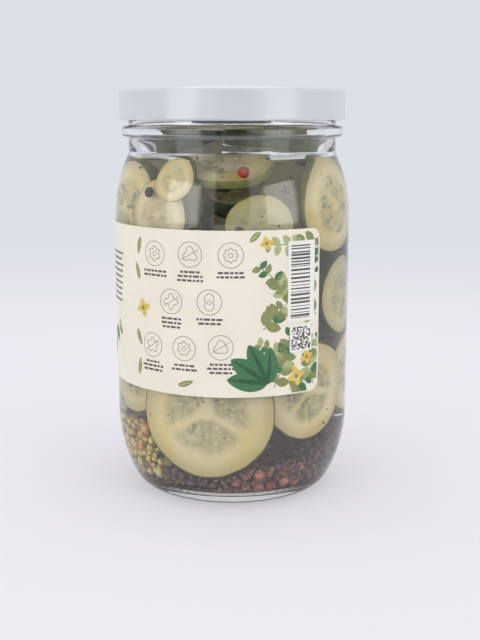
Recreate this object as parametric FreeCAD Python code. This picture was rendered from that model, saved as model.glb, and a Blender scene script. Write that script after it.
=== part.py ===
"""A closed jar of sliced pickles in brine, in millimetres.

+Z is up and the origin is at the centre of the foot. -Y is the front.
The jar is a round glass body with a narrowed neck. A twist-off metal lid closes it, with a soft sealing
ring between the lid and the glass rim. A paper label goes round the straight wall and leaves a bare strip
between its two ends. Brine fills the jar up to just below the neck, with a free space above it.
"""
import FreeCAD
import Part
import math
import os

# --- overall sizes ---------------------------------------------------------------------------------------
HEIGHT = 151.6            # from the foot to the top of the lid
BODY_RADIUS = 44.5        # outside of the straight wall

# --- glass -----------------------------------------------------------------------------------------------
WALL = 2.9                # thickness of the wall, shoulder and neck
FLOOR = 5.0               # thickness above the foot ring
HEEL_TOP = 30.0           # height where the wall starts to turn in towards the foot
HEEL_RADIUS = 52.0        # the slow curve of the heel
FOOT_RADIUS = 9.6         # the tight curve below it, down to the foot ring
FOOT_FLAT = 1.2           # width of the flat on the foot ring, which the jar stands on
FOOT_INNER_RADIUS = 2.5   # the curve from the foot ring up into the hollow underside
FOOT_INNER_TURN = 60.0    # how far that curve turns, in degrees
PUSH_UP = 2.6             # height of the hollow underside at its middle
FLOOR_CORNER = 8.0        # the curve inside, from the heel to the floor
FLOOR_DOME = 1.8          # rise of the floor at its middle
SHOULDER_DEPTH = 5.6      # how far the neck lies inside the straight wall
SHOULDER_RADIUS = 56.0    # the slow curve of the shoulder
NECK_CURVE = 3.0          # the hollow curve where the shoulder meets the neck
NECK_HEIGHT = 21.3        # from the foot of the neck up to the rim
BEAD_WIDTH = 4.0          # height of the raised ring below the lid
BEAD_DEPTH = 2.5          # how far that ring stands out
BEAD_ROUND = 1.2          # rounding of its outer edges
BEAD_ROOT = 0.6           # rounding where it meets the neck
BEAD_GAP = 2.0            # from the ring up to the lid
RIM_ROUND = 0.9           # rounding of the rim's edges
RIM_TAPER = 0.4           # how far the neck narrows from the threads up to the rim
THREADS = 4               # short raised threads on the glass, and as many lugs on the lid
THREAD_ANGLE = 42.0       # length of one thread, in degrees
THREAD_DEPTH = 1.4        # how far a thread stands out
THREAD_WIDTH = 2.2        # height of a thread
THREAD_ROUND = 0.6        # rounding of its outer edges

# --- lid and sealing ring ----------------------------------------------------------------------------------
LID_SHEET = 0.4           # thickness of the lid's metal
LID_SKIRT = 11.6          # height of the lid
LID_ROUND = 1.4           # rounding of the lid's top edge
LID_HEM = 1.7             # height and depth of the rolled hem
HEM_ROUND = 0.75          # rounding of the hem's edges
LID_GAP = 0.3             # between the hem and the glass threads
LID_STEP = 0.9            # how far the lid's middle panel lies below its rim
LID_STEP_GAP = 0.6        # from the sealing ring in to the step
STEP_ROUND = 0.3          # rounding of the step's edges
LUG_ANGLE = 14.0          # length of one lug, in degrees
LUG_GAP = 0.4             # between a lug and the neck
LUG_CLEARANCE = 0.1       # between a lug and the glass thread above it
LINER_THICK = 0.8         # thickness of the sealing ring
LINER_SPREAD = 0.7        # how far the ring reaches past the rim, inwards and outwards

# --- label and brine ---------------------------------------------------------------------------------------
LABEL_THICK = 0.15
LABEL_ABOVE_HEEL = 14.0   # from the end of the heel's curve up to the label
LABEL_BELOW_SHOULDER = 1.0
LABEL_END = 44.0          # azimuth of the label's right-hand end, in degrees from -Y towards +X
LABEL_BARE = 43.0         # width of the bare strip between the label's two ends
LABEL_CORNER = 4.0        # rounding of the label's corners
BRINE_DROP = 3.6          # from the foot of the neck down to the top of the brine

# --- worked out from the sizes above -----------------------------------------------------------------------
NECK_RADIUS = BODY_RADIUS - SHOULDER_DEPTH
BORE_RADIUS = NECK_RADIUS - WALL
RIM = HEIGHT - LID_SHEET - LINER_THICK
NECK_FOOT = RIM - NECK_HEIGHT
LID_FOOT = HEIGHT - LID_SKIRT
LID_RADIUS = NECK_RADIUS + THREAD_DEPTH + LID_GAP + LID_HEM
LUG_TOP = LID_FOOT + LID_HEM
BRINE_LEVEL = NECK_FOOT - BRINE_DROP

ORIGIN = FreeCAD.Vector(0, 0, 0)
AXIS = FreeCAD.Vector(0, 0, 1)
FULL_TURN = 360.0
FRONT = -90.0             # the angle of -Y about +Z, counted from +X


# --- outlines, drawn in the XZ plane as radius and height ----------------------------------------------------
def at(radius, height):
    """A point of an outline."""
    return FreeCAD.Vector(radius, 0, height)


def start_of(edge):
    return edge.valueAt(edge.FirstParameter)


def end_of(edge):
    return edge.valueAt(edge.LastParameter)


def arc(centre, radius, start_angle, end_angle):
    """An arc round centre, with its angles in degrees from outwards towards up."""
    points = []
    for angle in (start_angle, (start_angle + end_angle) / 2.0, end_angle):
        turn = math.radians(angle)
        points.append(centre + at(radius * math.cos(turn), radius * math.sin(turn)))
    return Part.Arc(*points).toShape()


def crown(edge_radius, edge_height, rise):
    """The shallow arc from a point on the axis, rise above the edge's height, out to the edge."""
    share = 0.5
    middle = at(edge_radius * share, edge_height + rise * (1.0 - share * share))
    return Part.Arc(at(0, edge_height + rise), middle, at(edge_radius, edge_height)).toShape()


def rounded_run(corners):
    """Edges through corners of (radius, height, rounding), each inner corner eased by its rounding."""
    points = [at(radius, height) for radius, height, _ in corners]
    edges = []
    last = points[0]
    for index in range(1, len(points) - 1):
        here = points[index]
        rounding = corners[index][2]
        if rounding > 0:
            back = (points[index - 1] - here).normalize()
            ahead = (points[index + 1] - here).normalize()
            half = back.getAngle(ahead) / 2.0
            reach = rounding / math.tan(half)
            middle = here + (back + ahead).normalize() * (rounding / math.sin(half) - rounding)
            edges.append(Part.makeLine(last, here + back * reach))
            edges.append(Part.Arc(here + back * reach, middle, here + ahead * reach).toShape())
            last = here + ahead * reach
        else:
            edges.append(Part.makeLine(last, here))
            last = here
    edges.append(Part.makeLine(last, points[-1]))
    return edges


def closed(edges):
    """The same edges, with a straight one from the last end back to the first start."""
    return edges + [Part.makeLine(end_of(edges[-1]), start_of(edges[0]))]


def turned(edges, middle_angle=0.0, sweep=FULL_TURN):
    """The solid made by turning a closed outline about the axis, by sweep degrees round middle_angle."""
    face = Part.Face(Part.Wire(Part.__sortEdges__(edges)))
    solid = face.revolve(ORIGIN, AXIS, sweep)
    solid.rotate(ORIGIN, AXIS, middle_angle - sweep / 2.0)
    return solid


def around(make_one, count):
    """Copies of a solid, evenly spaced round the axis: make_one takes the copy's angle."""
    return [make_one(index * FULL_TURN / count) for index in range(count)]


# --- glass jar -----------------------------------------------------------------------------------------------
def lower_curves(offset, corner_radius, floor):
    """The heel's arc, offset inwards from the outside, and the tangent arc that ends level at the floor."""
    heel = at(BODY_RADIUS - HEEL_RADIUS, HEEL_TOP)
    radius = HEEL_RADIUS - offset
    drop = HEEL_TOP - floor - corner_radius
    turn = math.asin(drop / (radius - corner_radius))
    corner = at(heel.x + (radius - corner_radius) * math.cos(turn), floor + corner_radius)
    turn = math.degrees(turn)
    return [arc(heel, radius, 0.0, -turn), arc(corner, corner_radius, -turn, -90.0)]


def shoulder_rise():
    """Height of the shoulder, from the end of the straight wall up to the foot of the neck."""
    reach = SHOULDER_RADIUS + NECK_CURVE
    across = reach - SHOULDER_DEPTH
    return math.sqrt(reach * reach - across * across)


def shoulder_curves(offset):
    """The shoulder's arc, offset inwards from the outside, and the hollow arc that ends upright in the neck."""
    shoulder = at(BODY_RADIUS - SHOULDER_RADIUS, NECK_FOOT - shoulder_rise())
    hollow = at(NECK_RADIUS + NECK_CURVE, NECK_FOOT)
    turn = math.degrees(math.atan2(hollow.z - shoulder.z, hollow.x - shoulder.x))
    return [
        arc(shoulder, SHOULDER_RADIUS - offset, 0.0, turn),
        arc(hollow, NECK_CURVE + offset, 180.0 + turn, 180.0),
    ]


def outer_wall():
    """The outside of the glass, from the middle of the underside up to the foot of the neck."""
    heel, foot = lower_curves(0.0, FOOT_RADIUS, 0.0)
    flat = Part.makeLine(end_of(foot), end_of(foot) - at(FOOT_FLAT, 0.0))
    ring = end_of(flat) + at(0.0, FOOT_INNER_RADIUS)
    inner = arc(ring, FOOT_INNER_RADIUS, -90.0, -90.0 - FOOT_INNER_TURN)
    edge = end_of(inner)
    underside = crown(edge.x, edge.z, PUSH_UP - edge.z)
    shoulder, hollow = shoulder_curves(0.0)
    wall = Part.makeLine(start_of(heel), start_of(shoulder))
    return [underside, inner, flat, foot, heel, wall, shoulder, hollow]


def inner_wall():
    """The inside of the glass, from the middle of the floor up to the foot of the neck."""
    heel, corner = lower_curves(WALL, FLOOR_CORNER, FLOOR)
    floor = crown(end_of(corner).x, FLOOR, FLOOR_DOME)
    shoulder, hollow = shoulder_curves(WALL)
    wall = Part.makeLine(start_of(heel), start_of(shoulder))
    return [floor, corner, heel, wall, shoulder, hollow]


def neck():
    """The neck from its foot up the outside, over the raised ring and the rim, and down the inside."""
    bead_top = LID_FOOT - BEAD_GAP
    bead_foot = bead_top - BEAD_WIDTH
    bead_radius = NECK_RADIUS + BEAD_DEPTH
    return rounded_run([
        (NECK_RADIUS, NECK_FOOT, 0.0),
        (NECK_RADIUS, bead_foot, BEAD_ROOT),
        (bead_radius, bead_foot, BEAD_ROUND),
        (bead_radius, bead_top, BEAD_ROUND),
        (NECK_RADIUS, bead_top, BEAD_ROOT),
        (NECK_RADIUS, LUG_TOP, 0.0),
        (NECK_RADIUS - RIM_TAPER, RIM, RIM_ROUND),
        (BORE_RADIUS, RIM, RIM_ROUND),
        (BORE_RADIUS, NECK_FOOT, 0.0),
    ])


def thread(angle):
    """One short raised thread, which a lug of the lid lies under."""
    foot = LUG_TOP + LUG_CLEARANCE
    root = NECK_RADIUS - WALL / 2.0
    crest = NECK_RADIUS + THREAD_DEPTH
    outline = rounded_run([
        (root, foot, 0.0),
        (crest, foot, THREAD_ROUND),
        (crest, foot + THREAD_WIDTH, THREAD_ROUND),
        (root, foot + THREAD_WIDTH, 0.0),
    ])
    return turned(closed(outline), angle, THREAD_ANGLE)


def glass_jar():
    """The wall, neck and rim in one outline, with the threads added."""
    outside = outer_wall()
    inside = inner_wall()
    axis_edge = Part.makeLine(start_of(outside[0]), start_of(inside[0]))
    glass = turned(outside + neck() + inside + [axis_edge])
    return glass.fuse(around(thread, THREADS)).removeSplitter()


# --- lid and sealing ring --------------------------------------------------------------------------------------
def liner_bore():
    """Inner radius of the sealing ring."""
    return BORE_RADIUS - LINER_SPREAD


def sealing_ring():
    """The soft ring that lies on the rim, under the lid."""
    outer = NECK_RADIUS - RIM_TAPER + LINER_SPREAD
    inner = liner_bore()
    top = RIM + LINER_THICK
    outline = rounded_run([(inner, RIM, 0.0), (outer, RIM, 0.0), (outer, top, 0.0), (inner, top, 0.0)])
    return turned(closed(outline))


def lug(angle):
    """One lug: the hem pressed inwards, just below a glass thread."""
    tip = NECK_RADIUS + LUG_GAP
    root = LID_RADIUS - LID_HEM / 2.0
    outline = rounded_run([
        (root, LID_FOOT + LID_SHEET, 0.0),
        (tip, LID_FOOT + LID_SHEET, LID_SHEET),
        (tip, LUG_TOP, LID_SHEET),
        (root, LUG_TOP, 0.0),
    ])
    return turned(closed(outline), angle, LUG_ANGLE)


def metal_lid():
    """The pressed sheet: a lowered middle panel, a straight skirt and a rolled hem, with its lugs."""
    panel = HEIGHT - LID_STEP
    step_outer = liner_bore() - LID_STEP_GAP
    step_inner = step_outer - LID_STEP
    underside = HEIGHT - LID_SHEET
    inner_skirt = LID_RADIUS - LID_SHEET
    hem_inner = LID_RADIUS - LID_HEM
    outline = rounded_run([
        (0.0, panel, 0.0),
        (step_inner, panel, STEP_ROUND),
        (step_outer, HEIGHT, STEP_ROUND),
        (LID_RADIUS, HEIGHT, LID_ROUND),
        (LID_RADIUS, LID_FOOT, HEM_ROUND),
        (hem_inner, LID_FOOT, HEM_ROUND),
        (hem_inner, LUG_TOP, HEM_ROUND),
        (inner_skirt, LUG_TOP, 0.0),
        (inner_skirt, underside, LID_ROUND - LID_SHEET),
        (step_outer, underside, STEP_ROUND),
        (step_inner, panel - LID_SHEET, STEP_ROUND),
        (0.0, panel - LID_SHEET, 0.0),
    ])
    return turned(closed(outline)).fuse(around(lug, THREADS)).removeSplitter()


# --- label and brine -------------------------------------------------------------------------------------------
def corner_waste(angle, height, along, up):
    """What is cut off one corner of the label: a square that reaches past the corner, less a quarter round.

    along and up are 1 or -1, the ways from the corner into the label.
    """
    outwards = FreeCAD.Vector(math.cos(math.radians(angle)), math.sin(math.radians(angle)), 0)
    across = AXIS.cross(outwards) * along
    rise = AXIS * up
    corner = outwards * BODY_RADIUS + AXIS * height

    def place(side, level):
        return corner + across * side + rise * level

    size = LABEL_CORNER
    bulge = size * (1.0 - math.sqrt(0.5))
    edges = [
        Part.makeLine(place(-size, -size), place(size, -size)),
        Part.makeLine(place(size, -size), place(size, 0)),
        Part.Arc(place(size, 0), place(bulge, bulge), place(0, size)).toShape(),
        Part.makeLine(place(0, size), place(-size, size)),
        Part.makeLine(place(-size, size), place(-size, -size)),
    ]
    waste = Part.Face(Part.Wire(edges)).extrude(outwards * 2.0 * size)
    waste.translate(outwards * -size)
    return waste


def paper_label():
    """A strip with rounded corners, bent round the straight wall."""
    foot = HEEL_TOP + LABEL_ABOVE_HEEL
    top = NECK_FOOT - shoulder_rise() - LABEL_BELOW_SHOULDER
    outer = BODY_RADIUS + LABEL_THICK
    section = [(BODY_RADIUS, foot, 0.0), (outer, foot, 0.0), (outer, top, 0.0), (BODY_RADIUS, top, 0.0)]
    outline = rounded_run(section)
    sweep = FULL_TURN - math.degrees(LABEL_BARE / BODY_RADIUS)
    right_end = FRONT + LABEL_END
    left_end = right_end - sweep
    strip = turned(closed(outline), (left_end + right_end) / 2.0, sweep)
    waste = []
    for height, up in ((foot, 1.0), (top, -1.0)):
        waste.append(corner_waste(left_end, height, 1.0, up))
        waste.append(corner_waste(right_end, height, -1.0, up))
    return strip.cut(waste)


def brine():
    """All of the inside, from the floor up to the brine's level."""
    inside = inner_wall()
    neck_foot = end_of(inside[-1])
    across = [Part.makeLine(neck_foot, at(0, NECK_FOOT)), Part.makeLine(at(0, NECK_FOOT), start_of(inside[0]))]
    cavity = turned(inside + across)
    size = 2.0 * BODY_RADIUS
    below = Part.makeBox(size, size, BRINE_LEVEL, FreeCAD.Vector(-BODY_RADIUS, -BODY_RADIUS, 0))
    return cavity.common(below)


def main():
    nodes = {
        "glass_jar": glass_jar(),
        "metal_lid": metal_lid(),
        "sealing_ring": sealing_ring(),
        "paper_label": paper_label(),
        "brine": brine(),
    }
    os.makedirs("parts", exist_ok=True)
    for name, shape in nodes.items():
        solid = shape.Solids[0]
        print(f"{name}: {len(shape.Solids)} solid, valid {solid.isValid()}, {solid.Volume / 1000.0:.2f} cm3, "
              f"z {solid.BoundBox.ZMin:.2f} to {solid.BoundBox.ZMax:.2f}")
        solid.exportStep(f"parts/{name}.step")


main()
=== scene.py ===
# %% [markdown]
# # A jar of sliced pickles
# The object is a clear glass jar, filled with brine and slices of pickled cucumber, with peppercorns and
# seeds at the bottom, a white twist-off lid and a paper label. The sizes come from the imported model, which
# is loaded first and never changed. What the model only stands for, such as the brine with all that is sunk
# in it, is made here in full.

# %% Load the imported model
import math

import bpy
import numpy as np
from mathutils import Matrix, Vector


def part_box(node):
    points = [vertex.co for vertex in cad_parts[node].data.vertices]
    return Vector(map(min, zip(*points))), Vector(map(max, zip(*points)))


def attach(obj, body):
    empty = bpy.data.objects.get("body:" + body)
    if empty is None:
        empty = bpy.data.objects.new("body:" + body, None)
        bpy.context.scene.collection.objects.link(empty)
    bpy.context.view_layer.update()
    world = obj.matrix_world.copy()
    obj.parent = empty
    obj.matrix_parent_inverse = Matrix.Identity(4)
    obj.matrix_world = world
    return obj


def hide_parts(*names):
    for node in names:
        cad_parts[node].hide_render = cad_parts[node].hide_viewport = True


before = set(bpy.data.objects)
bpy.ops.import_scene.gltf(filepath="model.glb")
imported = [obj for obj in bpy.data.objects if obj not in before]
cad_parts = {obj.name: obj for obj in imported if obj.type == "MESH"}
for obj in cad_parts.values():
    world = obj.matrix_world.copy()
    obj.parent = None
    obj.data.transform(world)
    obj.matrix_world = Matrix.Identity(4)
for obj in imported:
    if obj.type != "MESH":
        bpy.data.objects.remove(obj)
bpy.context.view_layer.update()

print("the packed model holds", sorted(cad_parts))

# %% [markdown]
# ## Sizes
# All shapes are worked out in millimetres, and turned into metres where a mesh is made. The outer sizes are
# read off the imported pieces. The curves between them repeat the jar's own radii: a slow curve and a tight
# one from the wall down to the foot, and a slow curve and a hollow one from the wall up to the neck.

# %% Sizes of the jar
MM = 0.001


def box_mm(node):
    """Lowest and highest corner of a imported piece, in millimetres."""
    low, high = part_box(node)
    return np.array(low) / MM, np.array(high) / MM


GLASS_LOW, GLASS_HIGH = box_mm("glass_jar")
LID_LOW, _ = box_mm("metal_lid")
LABEL_LOW, LABEL_HIGH = box_mm("paper_label")
BRINE_LOW, BRINE_HIGH = box_mm("brine")

BODY_RADIUS = GLASS_HIGH[0]
RIM = GLASS_HIGH[2]
WALL = BRINE_LOW[0] - GLASS_LOW[0]
FLOOR = BRINE_LOW[2]
BRINE_LEVEL = BRINE_HIGH[2]
LABEL_RADIUS = -LABEL_LOW[0]
LABEL_FOOT = LABEL_LOW[2]
LABEL_TOP = LABEL_HIGH[2]

HEEL_TOP, HEEL_RADIUS = 30.0, 52.0
FOOT_RADIUS, FOOT_FLAT, FOOT_INNER_RADIUS = 9.6, 1.2, 2.5
PUSH_UP, FLOOR_CORNER, FLOOR_DOME = 2.6, 8.0, 1.8
SHOULDER_DEPTH, SHOULDER_RADIUS, NECK_CURVE = 5.6, 56.0, 3.0
NECK_HEIGHT = 21.3
BEAD_WIDTH, BEAD_DEPTH, BEAD_GAP = 4.0, 2.5, 2.0
LID_HEM = 1.7
THREADS, THREAD_ANGLE, THREAD_DEPTH, THREAD_WIDTH = 4, 42.0, 1.4, 2.2

NECK_RADIUS = BODY_RADIUS - SHOULDER_DEPTH
NECK_FOOT = RIM - NECK_HEIGHT
LID_FOOT = LID_LOW[2]
print(f"body radius {BODY_RADIUS:.1f}, wall {WALL:.1f}, rim at {RIM:.1f}, brine up to {BRINE_LEVEL:.1f} mm")

# %% [markdown]
# ## The camera
# A long lens a little above the jar's shoulder, looking slightly down: the lid is seen from just below its
# top, and the foot from above. The small sideways shift moves the picture, and doesn't turn the camera.

# %% Camera
CAMERA_DISTANCE = 414.3
CAMERA_HEIGHT = 143.0
CAMERA_PITCH = 10.88
CAMERA_LENS = 60.9
CAMERA_SHIFT = 0.0122

camera = bpy.data.objects.new("camera", bpy.data.cameras.new("camera"))
bpy.context.scene.collection.objects.link(camera)
camera.location = (0.0, -CAMERA_DISTANCE * MM, CAMERA_HEIGHT * MM)
camera.rotation_euler = (math.radians(90.0 - CAMERA_PITCH), 0.0, 0.0)
camera.data.lens = CAMERA_LENS
camera.data.shift_x = CAMERA_SHIFT
camera.data.clip_start = 0.01
bpy.context.scene.camera = camera
bpy.context.scene.view_settings.view_transform = "Standard"
print("the camera stands", CAMERA_DISTANCE, "mm in front of the jar's axis")

# %% [markdown]
# ## Writing a finish as sums
# A finish is a net of nodes. To keep it readable, a socket is wrapped in a small class whose operators add
# Math nodes, so that `1 - mask * 0.5` can be written as it is. Numbers alone are still worked out by Python,
# and colours are mixed by one method, because a Math node would turn them grey.


# %% Shader helpers
class Value:
    """A socket of a finish. Its operators add Math nodes and return the result as a Value."""

    def __init__(self, finish, socket):
        self.finish = finish
        self.socket = socket

    def maths(self, operation, *others):
        sockets = dict(enumerate((self, *others)))
        return self.finish.node("ShaderNodeMath", {"operation": operation}, sockets)

    def __add__(self, other):
        return self.maths("ADD", other)

    def __sub__(self, other):
        return self.maths("SUBTRACT", other)

    def __mul__(self, other):
        return self.maths("MULTIPLY", other)

    def __truediv__(self, other):
        return self.maths("DIVIDE", other)

    def __pow__(self, other):
        return self.maths("POWER", other)

    def __rsub__(self, other):
        return self.finish.node("ShaderNodeMath", {"operation": "SUBTRACT"}, {0: other, 1: self})

    __radd__ = __add__
    __rmul__ = __mul__

    def step(self, low, high):
        """0 below low, 1 above high, and a soft rise between them. With low above high it falls."""
        settings = {"interpolation_type": "SMOOTHSTEP"}
        ends = {"From Min": min(low, high), "From Max": max(low, high)}
        rise = {"To Min": 0.0, "To Max": 1.0} if low < high else {"To Min": 1.0, "To Max": 0.0}
        return self.finish.node("ShaderNodeMapRange", settings, {"Value": self, **ends, **rise})


class Finish:
    """A material, or the world, that is put together node by node."""

    def __init__(self, name, owner=None):
        self.material = owner or bpy.data.materials.new(name)
        self.material.use_nodes = True
        self.tree = self.material.node_tree
        self.tree.nodes.clear()

    def node(self, kind, settings=None, sockets=None, output=0):
        """Adds one node: its settings first, then a value or a link for each socket that is named."""
        made = self.tree.nodes.new(kind)
        for name, value in (settings or {}).items():
            setattr(made, name, value)
        for name, value in (sockets or {}).items():
            if isinstance(value, Value):
                self.tree.links.new(value.socket, made.inputs[name])
            else:
                made.inputs[name].default_value = value
        return Value(self, made.outputs[output])

    def place(self):
        """Where a point of the surface lies, in metres, in the object's own coordinates."""
        return self.node("ShaderNodeTexCoord", output="Object")

    def parts(self, vector):
        """The three numbers of a vector."""
        split = self.node("ShaderNodeSeparateXYZ", sockets={0: vector}).socket.node
        return [Value(self, socket) for socket in split.outputs]

    def mark(self, name):
        """A number that the mesh keeps for each of its points."""
        return self.node("ShaderNodeAttribute", {"attribute_name": name}, output="Fac")

    def noise(self, vector, scale, detail=2.0, roughness=0.5):
        sockets = {"Vector": vector, "Scale": scale, "Detail": detail, "Roughness": roughness}
        return self.node("ShaderNodeTexNoise", sockets=sockets)

    def cells(self, vector, scale):
        """Distance to the middle of the nearest cell, of a random pattern of cells."""
        return self.node("ShaderNodeTexVoronoi", sockets={"Vector": vector, "Scale": scale})

    def blend(self, factor, first, second):
        """The first colour where factor is 0, and the second where it is 1."""
        return self.node("ShaderNodeMix", {"data_type": "RGBA"}, {0: factor, 6: first, 7: second}, 2)

    def bump(self, height, distance, strength=1.0):
        """A normal that follows a height pattern, whose full height is distance in metres."""
        sockets = {"Strength": strength, "Distance": distance, "Height": height}
        return self.node("ShaderNodeBump", sockets=sockets)

    def surface(self, **sockets):
        """The main shader, with its sockets named in lower case: base_color sets Base Color."""
        wanted = {}
        for name, value in sockets.items():
            wanted[name.replace("_", " ").title().replace("Ior", "IOR")] = value
        return self.node("ShaderNodeBsdfPrincipled", sockets=wanted)

    def let_lamps_through(self, shader, tint):
        """The same shader, except that lamps shine straight through it and it throws only a tint."""
        shadow = self.node("ShaderNodeLightPath", output="Is Shadow Ray")
        straight = self.node("ShaderNodeBsdfTransparent", sockets={"Color": tint})
        return self.node("ShaderNodeMixShader", sockets={0: shadow, 1: shader, 2: straight})

    def done(self, shader, kind="ShaderNodeOutputMaterial"):
        """Links the shader to the output and hands over the material."""
        output = self.tree.nodes.new(kind)
        self.tree.links.new(shader.socket, output.inputs["Surface"])
        return self.material


def colour(red, green, blue):
    """A colour written as on a screen, 0 to 255, as the linear numbers that shaders take."""
    screen = np.array([red, green, blue]) / 255.0
    linear = np.where(screen <= 0.04045, screen / 12.92, ((screen + 0.055) / 1.055) ** 2.4)
    return (*[float(part) for part in linear], 1.0)


def colours(shades):
    """Several colours that are written as on a screen."""
    return [colour(*shade) for shade in shades]


print("white paper is", [round(part, 2) for part in colour(238, 231, 223)[:3]], "in linear numbers")

# %% [markdown]
# ## Floor and light
# Glass shows what stands round it, so the surroundings matter as much as the glass. The jar stands on a pale
# floor that fades into a pale backdrop. A wide soft lamp hangs above, and two more stand at the sides. A dark
# card stands far in front, behind the camera. For the camera, and in reflections and through glass, the far
# floor and the world show the same pale grey.

# %% Floor, backdrop and lamps
BACKDROP = colour(221, 224, 231)
FLOOR_COLOUR = colour(233, 233, 237)
FLOOR_SHINE = colour(238, 233, 239)
FLOOR_SIZE = 3.0
FADE_START, FADE_END = 0.15, 0.80
FLOOR_GLOW = 0.50
CARD_AT, CARD_WIDTH, CARD_FOOT, CARD_TOP = -1.3, 0.8, 0.02, 1.1
WORLD_LIGHT = 0.90


def seen_directly(finish):
    """1 for rays of the camera, of reflections and through glass, and 0 for light that falls on things."""
    path = finish.node("ShaderNodeLightPath").socket.node
    names = ("Is Camera Ray", "Is Glossy Ray", "Is Transmission Ray")
    rays = [Value(finish, path.outputs[name]) for name in names]
    return rays[0].maths("MAXIMUM", rays[1]).maths("MAXIMUM", rays[2])


def stage_sheet(name, corners, material):
    """A flat sheet of the surroundings, from its four corners in metres."""
    mesh = bpy.data.meshes.new(name)
    mesh.from_pydata(corners, [], [(0, 1, 2, 3)])
    mesh.materials.append(material)
    sheet = bpy.data.objects.new(name, mesh)
    bpy.context.scene.collection.objects.link(sheet)


def make_floor():
    """A flat square round the jar. Where it is seen, it is half glow near the jar, painted light that softens
    the jar's shadow, and its colour passes into the backdrop's own with distance from the jar.
    """
    finish = Finish("pale floor")
    x, y, _ = finish.parts(finish.place())
    distance = (x * x + y * y) ** 0.5
    fade = distance.step(FADE_START, FADE_END)
    # Near the jar, half of the floor as seen is glow: painted light that softens the jar's shadow.
    far = (fade * (1.0 - FLOOR_GLOW) + FLOOR_GLOW) * seen_directly(finish)
    near_shader = finish.surface(base_color=FLOOR_COLOUR, roughness=0.9)
    shine = finish.blend(fade, FLOOR_SHINE, BACKDROP)
    glow = finish.node("ShaderNodeEmission", sockets={"Color": shine, "Strength": 1.0})
    mixed = finish.node("ShaderNodeMixShader", sockets={0: far, 1: near_shader, 2: glow})
    half = FLOOR_SIZE / 2.0
    corners = [(-half, -half, 0), (half, -half, 0), (half, half, 0), (-half, half, 0)]
    stage_sheet("floor", corners, finish.done(mixed))


def make_room():
    """A dark card far in front of the jar: clear glass shows the dark end of a room as fine dark lines."""
    finish = Finish("grey card")
    cloud = finish.noise(finish.place(), 3.0, 2.0)
    shade = finish.blend(cloud, colour(40, 42, 46), colour(54, 56, 60))
    half = CARD_WIDTH / 2.0
    ends = [(half, CARD_FOOT), (-half, CARD_FOOT), (-half, CARD_TOP), (half, CARD_TOP)]
    corners = [(across, CARD_AT, height) for across, height in ends]
    stage_sheet("card", corners, finish.done(finish.surface(base_color=shade, roughness=0.9)))


def make_world(strength):
    """A pale world: its own colour where it is seen, and a plain light of the given strength elsewhere."""
    world = bpy.data.worlds.new("studio")
    bpy.context.scene.world = world
    finish = Finish("studio", world)
    seen = seen_directly(finish)
    level = seen + (1.0 - seen) * strength
    background = finish.node("ShaderNodeBackground", sockets={"Color": BACKDROP, "Strength": level})
    finish.done(background, "ShaderNodeOutputWorld")


def soft_lamp(name, position, size, power):
    """A square lamp that looks at the middle of the jar."""
    lamp = bpy.data.lights.new(name, "AREA")
    lamp.size = size
    lamp.energy = power
    piece = bpy.data.objects.new(name, lamp)
    bpy.context.scene.collection.objects.link(piece)
    middle = np.array([0.0, 0.0, RIM * MM / 2.0])
    piece.location = position
    piece.rotation_euler = Vector(middle - np.array(position)).to_track_quat("-Z", "Y").to_euler()


make_floor()
make_room()
make_world(WORLD_LIGHT)
soft_lamp("lamp above", (0.0, -0.1, 1.3), 1.4, 8.0)
soft_lamp("lamp left", (-1.3, -1.1, 0.35), 1.0, 6.0)
soft_lamp("lamp right", (1.3, -1.1, 0.35), 1.0, 6.0)
print("the floor fades out between", FADE_START, "and", FADE_END, "m")

# %% [markdown]
# ## Turning arrays into meshes
# Every new shape is an array of points, worked out for the whole surface at once. Most are grids: rows run
# along the shape and columns go round it. The helper below joins any number of point and face arrays into
# one mesh, keeps a flat map and named numbers for the finish, and lets the piece ride on the jar's body.

# %% Mesh helpers


def grid_faces(rows, columns, wrap):
    """The quads of a grid of points, numbered row by row. With wrap the last column meets the first."""
    here = np.arange(rows - 1)[:, None] * columns
    column = np.arange(columns if wrap else columns - 1)[None, :]
    after = (column + 1) % columns
    quads = [here + column, here + after, here + columns + after, here + columns + column]
    return np.stack(np.broadcast_arrays(*quads), axis=-1).reshape(-1, 4)


def pole_faces(columns, first_row, pole, inwards):
    """Triangles from the points of a closed row to one pole point."""
    column = np.arange(columns)
    after = (column + 1) % columns
    ends = (after, column) if inwards else (column, after)
    return np.stack([first_row + ends[0], first_row + ends[1], np.full(columns, pole)], axis=-1)


def skin_of(rows, columns):
    """Faces of a closed skin: a first pole, then rows of points that go round, then a last pole.

    Points are numbered row by row, and the two poles come after them.
    """
    count = rows * columns
    quads = grid_faces(rows, columns, True)
    first = pole_faces(columns, 0, count, True)
    last = pole_faces(columns, (rows - 1) * columns, count + 1, False)
    return [quads, first, last]


def make_mesh(name, points, faces, marks=None, flat_map=None):
    """A mesh from points in millimetres, face arrays, numbers per point and a flat map per point."""
    mesh = bpy.data.meshes.new(name)
    corners = np.concatenate([part.ravel() for part in faces]).astype(np.int32)
    sizes = np.concatenate([np.full(len(part), part.shape[1]) for part in faces])
    starts = np.concatenate([[0], np.cumsum(sizes)[:-1]]).astype(np.int32)
    mesh.vertices.add(len(points))
    mesh.vertices.foreach_set("co", (np.asarray(points) * MM).astype(np.float32).ravel())
    mesh.loops.add(len(corners))
    mesh.loops.foreach_set("vertex_index", corners)
    mesh.polygons.add(len(sizes))
    mesh.polygons.foreach_set("loop_start", starts)
    mesh.polygons.foreach_set("use_smooth", np.full(len(sizes), True))
    for mark, values in (marks or {}).items():
        kept = mesh.attributes.new(mark, "FLOAT", "POINT")
        kept.data.foreach_set("value", values.astype(np.float32))
    if flat_map is not None:
        layer = mesh.uv_layers.new(name="flat")
        layer.data.foreach_set("uv", flat_map[corners].astype(np.float32).ravel())
    mesh.update(calc_edges=True)
    mesh.validate()
    return mesh


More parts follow.
